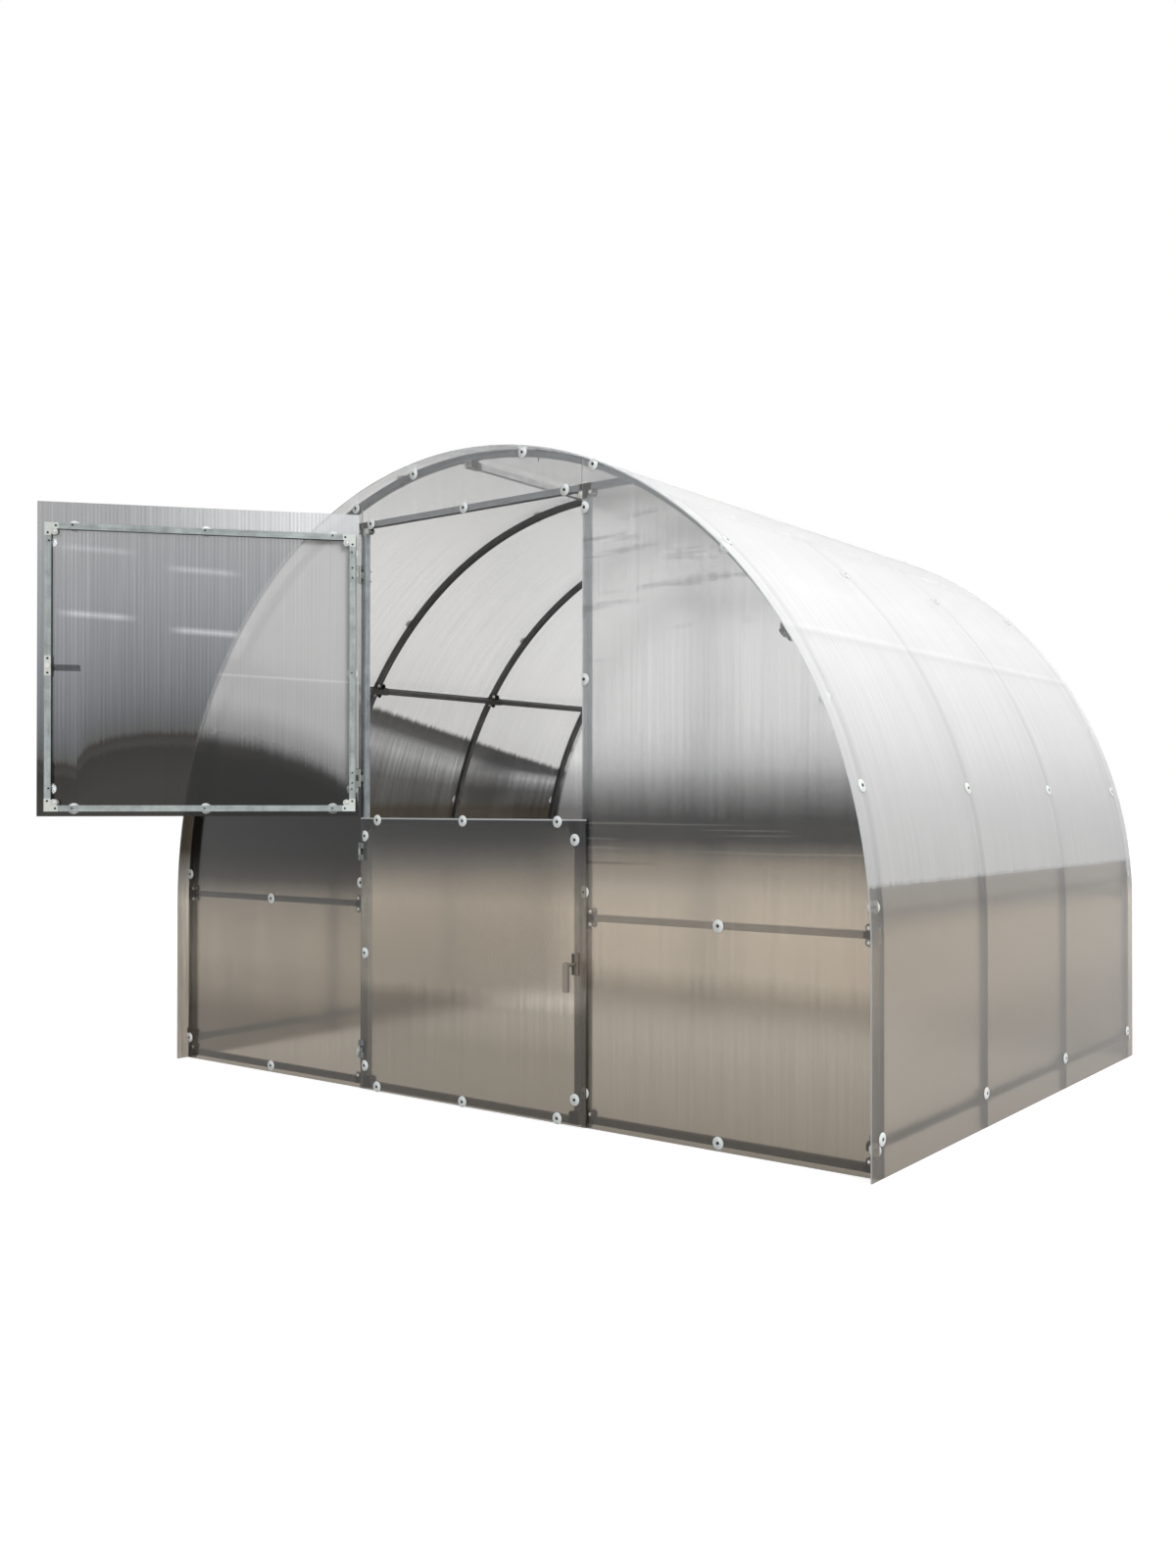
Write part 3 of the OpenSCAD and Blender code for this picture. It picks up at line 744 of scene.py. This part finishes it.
arch_steel = galvanised("galvanised arch, painted shade", 2, ARCH_STEEL, rough=0.5)
front_arch_steel = galvanised("galvanised front arch", 0, FRONT_STEEL, rough=0.5)
ridge_steel = galvanised("galvanised ridge", 1, grey(178), rough=0.5)
rail_steel = galvanised("galvanised rail, painted shade", 0, ARCH_STEEL, rough=0.5)
front_rail_steel = galvanised("galvanised front rail", 0, grey(142), rough=0.5, left=0.3)
purlin_steel = galvanised("galvanised purlin, painted shade", 1, ARCH_STEEL, rough=0.5)
post_steel = galvanised("galvanised post", 2, POST_STEEL, left=1.5)
header_steel = galvanised("galvanised header", 0, HEADER_STEEL)
stile_steel = galvanised("galvanised stile, painted light", 2, LEAF_STEEL, rough=0.4)
leaf_rail_steel = galvanised("galvanised leaf rail, painted light", 0, LEAF_STEEL, rough=0.4)
open_stile_steel = galvanised("galvanised open stile, painted light and shade", 2, LEAF_STEEL, rough=0.4,
                              turn=-upper_open, sides=0.15)
open_rail_steel = galvanised("galvanised open rail, painted light and shade", 0, LEAF_STEEL, rough=0.4,
                             turn=-upper_open, under=0.12)
zinc = plated("bright zinc plate", PLATE_ZINC, 0.36)
clamp_zinc = plated("grey zinc plate", CLAMP_ZINC, 0.4)
hinge_zinc = plated("grey hinge zinc", HINGE_ZINC, 0.4)
shaded_zinc = plated("zinc plate, painted shade", FRONT_STEEL, 0.42)
dark_zinc = plated("zinc plate, deep painted shade", grey(76), 0.5)
grip_steel = plated("handle, painted light", grey(228, 3), 0.4, metal=0.1)
shaded_grip = plated("handle, painted shade", grey(132, 6), 0.4, metal=0.5)
dark_screw = plated("blackened screw", grey(64), 0.4)
bolt_zinc = plated("zinc bolt", grey(195), 0.3)


def washer_plastic():
    """Milky plastic of the sheet washers, a little dusty in patches."""
    finish = Finish("milky washer plastic")
    dust = finish.noise(finish.spot, 60, 3.0)
    body = finish.ramp(finish.spread(dust, 0.35, 0.7), [(0.0, grey(240)), (1.0, grey(222, 6))])
    finish.set(Base_Color=body, Roughness=finish.spread(dust, 0.3, 0.7, 0.28, 0.42),
               Subsurface_Weight=0.15)
    finish.bump(dust, 0.05, 0.0003)
    return finish.material


milky_plastic = washer_plastic()

# Tints and haze of the sheets, each from the ground up. The tints hold painted reflections of
# the surroundings, seen on and through the sheets: warm sand low down, dark bands above it and
# pale sky at the top, and tunnel_tones paint the tunnel seen through the open leaf. SAND is how
# warm the painted sand low on the sheets is.
SAND = 12
roof_tones = [(0.0, grey(138, SAND)), (0.3, grey(156, SAND)), (0.45, grey(180, SAND)),
              (0.62, grey(188, SAND)), (0.685, grey(162, 6)), (0.705, grey(178, 6)),
              (0.75, grey(184, 2)), (0.762, grey(208)), (1.0, grey(219)), (1.16, grey(230)),
              (1.47, grey(243)), (1.8, grey(250)), (2.1, grey(250))]
roof_haze = [(0.0, 0.10), (0.75, 0.10), (0.76, 0.50), (1.2, 0.55), (1.6, 0.55), (1.9, 0.35),
             (2.1, 0.3)]
far_tones = [(0.0, grey(162, SAND)), (0.3, grey(164, SAND)), (0.6, grey(186, SAND)),
             (0.70, grey(140, 6)), (0.80, grey(70, 8)), (0.955, grey(68, 8)), (0.985, grey(90, 2)),
             (1.08, grey(104)), (1.14, grey(146)), (1.19, grey(182)), (1.235, grey(164)),
             (1.27, grey(98)), (1.318, grey(80)), (1.334, grey(216, 1)), (1.6, grey(234, 1)),
             (2.1, grey(253))]
far_haze = [(0.0, 0.10), (1.34, 0.10), (2.1, 0.12)]
right_tones = [(0.0, grey(138, SAND)), (0.2, grey(152, SAND)), (0.3, grey(164, SAND)),
               (0.43, grey(174, SAND)), (0.5, grey(214, SAND)), (0.64, grey(222, SAND)),
               (0.72, grey(216, 10)), (0.80, grey(178, 8)), (0.87, grey(104)),
               (0.93, grey(114)), (1.0, grey(190)), (1.07, grey(232)), (1.2, grey(250)),
               (1.3, grey(253)), (2.1, grey(253))]
right_haze = [(0.0, 0.15), (1.0, 0.12), (1.3, 0.10), (2.1, 0.10)]
left_tones = [(0.0, grey(146, SAND)), (0.2, grey(154, SAND)), (0.3, grey(192, SAND)),
              (0.42, grey(212, SAND)), (0.5, grey(208, SAND)), (0.62, grey(184, 8)),
              (0.70, grey(94, 8)), (0.78, grey(38, 8)), (0.86, grey(24, 6)),
              (1.0, grey(40, 4)), (1.2, grey(200)), (2.1, grey(244))]
left_haze = [(0.0, 0.12), (0.8, 0.05), (1.1, 0.05), (2.1, 0.12)]
lower_tones = [(0.0, grey(138, SAND)), (0.2, grey(138, SAND)), (0.33, grey(162, SAND)),
               (0.38, grey(208, SAND)), (0.66, grey(218, SAND)), (0.76, grey(176, 8)),
               (0.86, grey(116)), (0.93, grey(98))]
lower_haze = [(0.0, 0.15), (0.93, 0.10)]
upper_tones = [(0.80, grey(50, 4)), (0.915, grey(40, 4)), (0.93, grey(58, 3)),
               (0.956, grey(48, 4)), (0.974, grey(90)), (1.04, grey(108, -3)),
               (1.14, grey(128, -4)), (1.30, grey(148, -4)), (1.45, grey(162, -3)),
               (1.62, grey(172, -2)), (1.67, grey(178, -1)), (2.1, grey(178, -1))]
tunnel_tones = [(0.80, grey(54, 4)), (0.90, grey(62, 4)), (0.915, grey(80, 3)),
                (0.93, grey(84, 4)), (0.955, grey(144)), (0.985, grey(192)), (1.07, grey(214)),
                (1.3, grey(224)), (2.1, grey(228))]
upper_haze = [(0.80, 0.05), (1.0, 0.06), (2.1, 0.10)]
tunnel_haze = [(0.80, 0.05), (0.94, 0.06), (0.965, 0.30), (1.1, 0.55), (2.1, 0.60)]
gable_tones = [(1.9, grey(253)), (2.1, grey(253))]
gable_haze = [(1.9, 0.08), (2.1, 0.08)]
back_tones = [(0.0, grey(200, SAND)), (0.75, grey(206, SAND)), (0.85, grey(120, 4)),
              (0.95, grey(124)), (1.1, grey(190)), (1.2, grey(236)), (2.1, grey(252))]
back_haze = [(0.0, 0.10), (2.1, 0.10)]

# The tones and marks of these sheets are painted reflections, painted shade and painted light.
roof_sheet = twin_wall("roof twin-wall", roof_tones, roof_haze, across=1, ragged=0.004,
                       zone=left_of_ridge, zone_tones=far_tones, zone_haze=far_haze,
                       zone_ragged=0.004, zone_streaky=0.15, streaky=0.018, rise=far_slope,
                       marks=(painted_frame_lines, painted_shadow_blotch, far_rounds))
right_sheet = twin_wall("right wall twin-wall", right_tones, right_haze, rough=0.2,
                        marks=(painted_strokes_and_lines,))
back_sheet = twin_wall("back wall twin-wall", back_tones, back_haze)
left_sheet = twin_wall("left wall twin-wall", left_tones, left_haze, rough=0.125)
gable_sheet = twin_wall("gable twin-wall", gable_tones, gable_haze, rough=0.05)
lower_sheet = twin_wall("lower leaf twin-wall", lower_tones, lower_haze, rough=0.165,
                        painted_top_light_from=leaf_sheet_high.z - PAINTED_TOP_LIGHT_HIGH)
upper_sheet = twin_wall("upper leaf twin-wall", upper_tones, upper_haze, turn=-upper_open,
                        rough=0.08, streaky=0.04, fluted=0.08, fine=4.5,
                        zone=over_the_tunnel, zone_tones=tunnel_tones, zone_haze=tunnel_haze,
                        rise=hill, marks=(painted_far_rail_line, painted_top_highlight, light_bars), ribs=0.09,
                        rounds=leaf_rounds)

FINISHES = {
    arch_steel: ["middle_arches", "back_arch"],
    front_arch_steel: ["front_arch"],
    ridge_steel: ["ridge_purlin"],
    purlin_steel: ["side_purlins", "base_rails"],
    rail_steel: ["back_mid_rails", "back_bottom_rails"],
    front_rail_steel: ["front_mid_rails", "front_bottom_rails"],
    post_steel: ["front_posts", "back_posts"],
    header_steel: ["front_header", "back_header"],
    stile_steel: ["lower_door_stiles", "back_door_stiles"],
    open_stile_steel: ["upper_door_stiles"],
    leaf_rail_steel: ["lower_door_rails", "back_door_rails"],
    open_rail_steel: ["upper_door_rails"],
    zinc: ["upper_door_brackets", "upper_latch_plates"],
    clamp_zinc: ["front_clamps"],
    hinge_zinc: ["post_hinges", "upper_door_hinges"],
    shaded_zinc: ["back_clamps", "lower_door_hinges", "back_door_hinges", "lower_door_brackets",
                "back_door_brackets"],
    dark_zinc: ["rail_clamps"],
    grip_steel: ["upper_handle"],
    shaded_grip: ["lower_handle", "lower_latch_plates", "back_door_latches"],
    roof_sheet: ["roof_sheet"],
    right_sheet: ["front_right_sheet"],
    back_sheet: ["back_right_sheet", "back_left_sheet", "back_door_sheets"],
    left_sheet: ["front_left_sheet"],
    gable_sheet: ["front_gable_sheet", "back_gable_sheet"],
    lower_sheet: ["lower_door_sheet"],
    upper_sheet: ["upper_door_sheet"],
}
for material, nodes in FINISHES.items():
    for node in nodes:
        mesh = frame["nodes"][node].data
        mesh.materials.clear()
        mesh.materials.append(material)


# ---- Fastener patterns, modelled once on the Z axis with their seat at zero ----

def thread(core, crest, low, turns):
    """Rings of a screw thread from a height up, in mm."""
    rings = []
    for turn in range(turns):
        start = low + turn * THREAD_PITCH
        rings += [(crest, start + THREAD_PITCH / 2), (core, start + THREAD_PITCH)]
    return rings


def sheet_screw():
    """Domed washer with a cupped middle and a self-drilling screw through it."""
    dome = turned("washer", 32, [(16.5, 0), (18, 0.5), (18, 1.6), (16.8, 2.6), (11, 3.4),
                                 (9.4, 4.4), (6.4, 4.4), (5.4, 1.8)], milky_plastic)
    head = turned("screw_head", 6, [(4.6, 1.6), (4.6, 3.6), (3.9, 4.3), (2.0, 4.4), (1.8, 3.2)],
                  dark_screw)
    point = -SCREW_LEN * 1000
    profile = [(0.2, point), (1.9, point + 3.5)] + thread(1.9, 2.4, point + 3.5, 9)
    shank = turned("screw_shank", 8, profile + [(1.9, 1.0)], dark_screw)
    return joined("sheet_screw", [dome, head, shank])


def cut_washer(screw, side):
    """The same fastener with its washer cut off beside a sheet's edge: side is -1 or 1 for the
    left or right, seen from outside."""
    piece = copies(screw, [Matrix.Identity(4)])[0]
    open_up(piece)
    bpy.ops.mesh.bisect(plane_co=(side * CUT, 0, 0), plane_no=(side, 0, 0), use_fill=True,
                        clear_outer=True)
    close_up()
    return piece


def clamp_bolt():
    """Domed bolt head on a thin washer."""
    ring = turned("bolt_washer", 20, [(8.0, 0), (8.0, 0.9), (7.6, 1.2)], zinc)
    head = turned("bolt_dome", 20, [(6.2, 1.1), (6.2, 2.2), (5.2, 3.6), (3.0, 4.5), (1.2, 4.7)],
                  bolt_zinc)
    return joined("clamp_bolt", [ring, head])


def clamp_nut():
    """Hexagon nut on its washer with the end of the bolt through it."""
    ring = turned("nut_washer", 20, [(8.0, 0), (8.0, 0.9), (7.6, 1.2)], zinc)
    nut = turned("nut", 6, [(5.2, 1.1), (5.8, 1.6), (5.8, 5.0), (5.2, 5.6)], bolt_zinc)
    end = turned("bolt_end", 12, [(3.0, 5.0), (3.0, 8.2), (2.4, 8.9)], bolt_zinc)
    return joined("clamp_nut", [ring, nut, end])


def pan_screw():
    """Small pan-head screw with a sunk drive."""
    return turned("pan_screw", 14, [(3.6, 0), (3.6, 1.0), (2.9, 2.0), (1.6, 2.3), (1.3, 1.2)],
                  dark_screw)


def screw_tip():
    """Drill point of a screw that comes out of a tube."""
    profile = [(2.0, -0.5)] + thread(2.0, 2.5, 0.0, 8) + [(1.8, 13.5), (0.3, 17.0)]
    return turned("screw_tip", 8, profile, dark_screw)


screw = sheet_screw()
left_cut = cut_washer(screw, -1)
right_cut = cut_washer(screw, 1)
bolt = clamp_bolt()
nut = clamp_nut()
pan = pan_screw()
tip = screw_tip()


# ---- Sheet screws ----

def on_wall(x, z):
    """Seat of a screw on the fixed sheets of the front wall."""
    return facing(Vector((x, sheet_y, z)), OUT_FRONT)


def wall_screws():
    """Seats of whole, left-cut and right-cut screws on the fixed sheets of the front wall."""
    whole = [on_wall(side * SIDE_SCREW_X, z) for side in (-1, 1) for z in (mid_z, bottom_z)]
    whole += [on_wall(x, header_z) for x in HEADER_SCREWS]
    for side in (-1, 1):
        for angle in ARCH_SCREWS:
            around = math.radians(90 - side * angle)
            whole.append(on_wall(arch_mid_r * math.cos(around),
                                 leg_h + arch_mid_r * math.sin(around)))
        whole.append(on_wall(side * arch_mid_r, ARCH_LEG_SCREW))
    left = [on_wall(post_x - SLIP / 4, z) for z in RIGHT_POST_SCREWS]
    right = [on_wall(-post_x - SLIP, z) for z in LEFT_POST_SCREWS]
    return whole, left, right


def roof_screws():
    """Seats of the screws that hold the bent sheet to every arch. Of the lowest ones, only those
    on the left sit right on their arch's middle."""
    seats = []
    for y in arch_ys:
        shifted_y = y - ROOF_SHIFT
        for side, angles, low_y in ((-1, LEFT_ANGLES, y), (1, RIGHT_ANGLES, shifted_y)):
            seats.append(facing(Vector((side * roof_r, low_y, ROOF_LOW_SCREW)), (side, 0, 0)))
            for angle in angles:
                around = math.radians(angle)
                out = Vector((side * math.cos(around), 0, math.sin(around)))
                seats.append(facing(Vector((0, shifted_y, leg_h)) + out * roof_r, out))
    return seats


def on_leaf(places):
    """Seats of screws on the sheet of a closed leaf."""
    return [facing(Vector((x, leaf_sheet_y, z)), OUT_FRONT) for x, z in places]


wall_whole, wall_left, wall_right = wall_screws()
lower_whole = on_leaf(leaf_whole(leaf_low.z, leaf_high.z))
lower_cut = on_leaf(leaf_cut(leaf_low.z, leaf_high.z))
upper_whole = on_leaf(leaf_whole(upper_low.z, upper_high.z))
upper_cut = on_leaf(leaf_cut(upper_low.z, upper_high.z))
fit("front_wall_washers", [(screw, wall_whole), (left_cut, wall_left), (right_cut, wall_right)],
    "frame")
fit("back_wall_washers", [(screw, turned_back(wall_whole)), (left_cut, turned_back(wall_left)),
                          (right_cut, turned_back(wall_right))], "frame")
fit("roof_washers", [(screw, roof_screws())], "frame")
fit("lower_door_washers", [(screw, lower_whole), (left_cut, lower_cut)], "lower_door")
fit("upper_door_washers", [(screw, swung_open(upper_whole)),
                           (left_cut, swung_open(upper_cut))], "upper_door")
fit("back_door_washers", [(screw, turned_back(lower_whole + upper_whole)),
                          (left_cut, turned_back(lower_cut + upper_cut))], "frame")


# ---- Clamp bolts, nuts and bracket screws ----

def through(x, z, front, back):
    """Seats of a bolt head on the front plate and of its nut on the back plate."""
    return (facing(Vector((x, front, z)), OUT_FRONT),
            facing(Vector((x, back, z)), -OUT_FRONT))


def tee_bolts(x, z, turn, ears=(-1, 1)):
    """Bolts of a tee clamp in the front wall, whose stem is turned as the part's own clamps."""
    around = math.radians(turn)
    seats = []
    for ear in ears:
        along, down = ear * (TUBE / 2 + EAR_OFF), -EAR_OFF
        seats.append(through(x + along * math.cos(around) + down * math.sin(around),
                             z - along * math.sin(around) + down * math.cos(around),
                             wall_y - PLATE, wall_y + TUBE + PLATE))
    return seats


def wall_bolts():
    """Bolts of the front wall's tee clamps, as seats of their heads and of their nuts."""
    mid_x = math.sqrt(arch_inner_r ** 2 - (mid_z - leg_h) ** 2)
    seats = []
    for side in (-1, 1):
        seats += tee_bolts(side * post_x, header_low.z, 0)
        seats += tee_bolts(side * (post_x + TUBE / 2), mid_z, -side * 90)
        seats += tee_bolts(side * mid_x, mid_z, side * 90)
        seats += tee_bolts(side * (post_x + TUBE / 2), bottom_z, -side * 90, [side])
        seats += tee_bolts(side * arch_inner_r, bottom_z, side * 90, [-side])
    return [head for head, _ in seats], [end for _, end in seats]


def cradle_bolts():
    """Bolts of the purlin and base rail cradles, on the plates beside every arch."""
    ears_r = arch_inner_r - EAR_OFF
    rows = []
    for angle in (PURLIN_ANGLE, 90, 180 - PURLIN_ANGLE):
        around = math.radians(angle)
        out = Vector((math.cos(around), 0, math.sin(around)))
        side = Vector((math.sin(around), 0, -math.cos(around)))
        for ear in (-1, 1):
            rows.append(Vector((0, 0, leg_h)) + out * ears_r + side * (ear * CRADLE_EAR))
    for side in (-1, 1):
        rows.append(Vector((side * ears_r, 0, base_z + CRADLE_EAR)))
    heads, ends = [], []
    for number, y in enumerate(arch_ys):
        for row in rows:
            head, end = through(row.x, row.z, y - TUBE / 2 - PLATE, y + TUBE / 2 + PLATE)
            if number > 0:
                heads.append(head)
            if number < len(arch_ys) - 1:
                ends.append(end)
    return heads, ends


def on_inner_plate(x, z):
    """Seat on the inner plates of a closed leaf."""
    return facing(Vector((x, leaf_y + TUBE + PLATE, z)), -OUT_FRONT)


def leaf_bolts(bottom, top):
    """Bolts in the ears of a closed leaf's corner brackets, and the screws on their arms."""
    ear = TUBE + EAR_OFF
    bolts, screws = [], []
    for x, inward in ((leaf_low.x, 1), (leaf_high.x, -1)):
        for z, up in ((bottom, 1), (top, -1)):
            bolts.append(on_inner_plate(x + inward * ear, z + up * ear))
            for along, over in ((BRACKET_SCREW, TUBE / 2), (TUBE / 2, BRACKET_SCREW)):
                screws.append(on_inner_plate(x + inward * along, z + up * over))
    return bolts, screws


def latch_screws(node):
    """Two screws in the inner plate of a closed leaf's latch, near its ends."""
    low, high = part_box(node)
    return [on_inner_plate(stile_x, z) for z in (low.z + LATCH_SCREW, high.z - LATCH_SCREW)]


def hinge_heights(node):
    """Heights of the two hinges on a leaf, from the box of their node."""
    low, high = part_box(node)
    return [low.z + HINGE_HALF, high.z - HINGE_HALF]


def hinge_screws(x, front, heights):
    """Screws that hold a hinge to the tube behind it, and their tips on the tube's back."""
    places = [(x, z + up) for z in heights for up in (-HINGE_SCREW, HINGE_SCREW)]
    seats = [through(x, z, front - PLATE, front + TUBE) for x, z in places]
    return [head for head, _ in seats], [end for _, end in seats]


wall_heads, wall_ends = wall_bolts()
cradle_heads, cradle_ends = cradle_bolts()
lower_bolts, lower_screws = leaf_bolts(leaf_low.z, leaf_high.z)
upper_bolts, upper_screws = leaf_bolts(upper_low.z, upper_high.z)
lower_screws += latch_screws("lower_latch_plates")
upper_screws += latch_screws("upper_latch_plates")
fit("front_clamp_bolts", [(bolt, wall_heads), (nut, wall_ends)], "frame")
fit("back_clamp_bolts", [(bolt, turned_back(wall_heads)), (nut, turned_back(wall_ends))],
    "frame")
fit("rail_clamp_bolts", [(bolt, cradle_heads), (nut, cradle_ends)], "frame")
fit("lower_door_bolts", [(bolt, lower_bolts), (pan, lower_screws)], "lower_door")
fit("upper_door_bolts", [(bolt, swung_open(upper_bolts)), (pan, swung_open(upper_screws))],
    "upper_door")
fit("back_door_bolts", [(bolt, turned_back(lower_bolts + upper_bolts)),
                        (pan, turned_back(lower_screws + upper_screws))], "frame")

lower_hinges = hinge_heights("lower_door_hinges")
upper_hinges = hinge_heights("upper_door_hinges")
post_heads, post_tips = hinge_screws(-post_x - SLIP / 4, wall_y, lower_hinges + upper_hinges)
lower_heads, lower_tips = hinge_screws(hinge_stile_x, leaf_y, lower_hinges)
upper_heads, upper_tips = hinge_screws(hinge_stile_x, leaf_y, upper_hinges)
fit("post_hinge_screws", [(pan, post_heads), (tip, post_tips)], "frame")
fit("lower_hinge_screws", [(pan, lower_heads), (tip, lower_tips)], "lower_door")
fit("upper_hinge_screws", [(pan, swung_open(upper_heads)), (tip, swung_open(upper_tips))],
    "upper_door")
for pattern in (screw, left_cut, right_cut, bolt, nut, pan, tip):
    bpy.data.objects.remove(pattern)


# ---- Studio ----

WORLD_LIGHT = 0.62              # strength of the light from all round; what sees it sees white
FLOOR_GREY = (0.5, 0.5, 0.5, 1)
FLOOR_GLOW = 0.75               # what the floor gives to what sees it
FLOOR_SIZE = 60
FLOOR_DROP = 0.001              # from the ground to the floor
AIM = Vector((0, 0, 0.9))       # what the lamp points at


def seen_boost(tree, low, high):
    """A strength that is high for what sees the backdrop and low for the light it gives."""
    path = tree.nodes.new("ShaderNodeLightPath")
    seen = path.outputs["Is Camera Ray"]
    for name in ("Is Glossy Ray", "Is Transmission Ray"):
        either = tree.nodes.new("ShaderNodeMath")
        either.operation = "MAXIMUM"
        tree.links.new(seen, either.inputs[0])
        tree.links.new(path.outputs[name], either.inputs[1])
        seen = either.outputs[0]
    level = tree.nodes.new("ShaderNodeMapRange")
    level.inputs["To Min"].default_value = low
    level.inputs["To Max"].default_value = high
    tree.links.new(seen, level.inputs["Value"])
    return level.outputs[0]


def white_world():
    """Even light from all round, on a white backdrop."""
    world = bpy.data.worlds.new("studio")
    world.use_nodes = True
    background = world.node_tree.nodes["Background"]
    background.inputs["Color"].default_value = (1, 1, 1, 1)
    world.node_tree.links.new(seen_boost(world.node_tree, WORLD_LIGHT, 1.0),
                              background.inputs["Strength"])
    bpy.context.scene.world = world


def pale_floor():
    """A floor that looks white and keeps the shadow, and lights the object like a grey one."""
    bpy.ops.object.select_all(action="DESELECT")
    bpy.ops.mesh.primitive_plane_add(size=FLOOR_SIZE, location=(0, 0, -FLOOR_DROP))
    floor = bpy.context.object
    floor.name = "studio_floor"
    finish = Finish("studio floor")
    finish.set(Base_Color=FLOOR_GREY, Roughness=1.0)
    glow = finish.add("ShaderNodeEmission")
    finish.link(seen_boost(finish.tree, 0.0, FLOOR_GLOW), glow.inputs["Strength"])
    both = finish.add("ShaderNodeAddShader")
    finish.link(finish.shader.outputs[0], both.inputs[0])
    finish.link(glow.outputs[0], both.inputs[1])
    finish.link(both.outputs[0], finish.output.inputs["Surface"])
    floor.data.materials.append(finish.material)


def lamp(name, place, size, watts):
    """A round lamp that points at the object."""
    light = bpy.data.lights.new(name, "AREA")
    light.shape = "DISK"
    light.size = size
    light.energy = watts
    holder = bpy.data.objects.new(name, light)
    bpy.context.scene.collection.objects.link(holder)
    holder.location = place
    holder.rotation_euler = (AIM - Vector(place)).to_track_quat("-Z", "Y").to_euler()


white_world()
pale_floor()
lamp("key", (7.5, -3, 6.5), 4, 500)

camera = bpy.data.objects.new("camera", bpy.data.cameras.new("camera"))
bpy.context.scene.collection.objects.link(camera)
camera.location = (3.117, -4.027, 0.967)
camera.rotation_euler = (math.radians(90.32), 0, math.radians(33.88))
camera.data.lens = 30.37
camera.data.shift_x = -0.1017
camera.data.shift_y = 0.0089
bpy.context.scene.camera = camera
bpy.context.scene.view_settings.view_transform = "Standard"
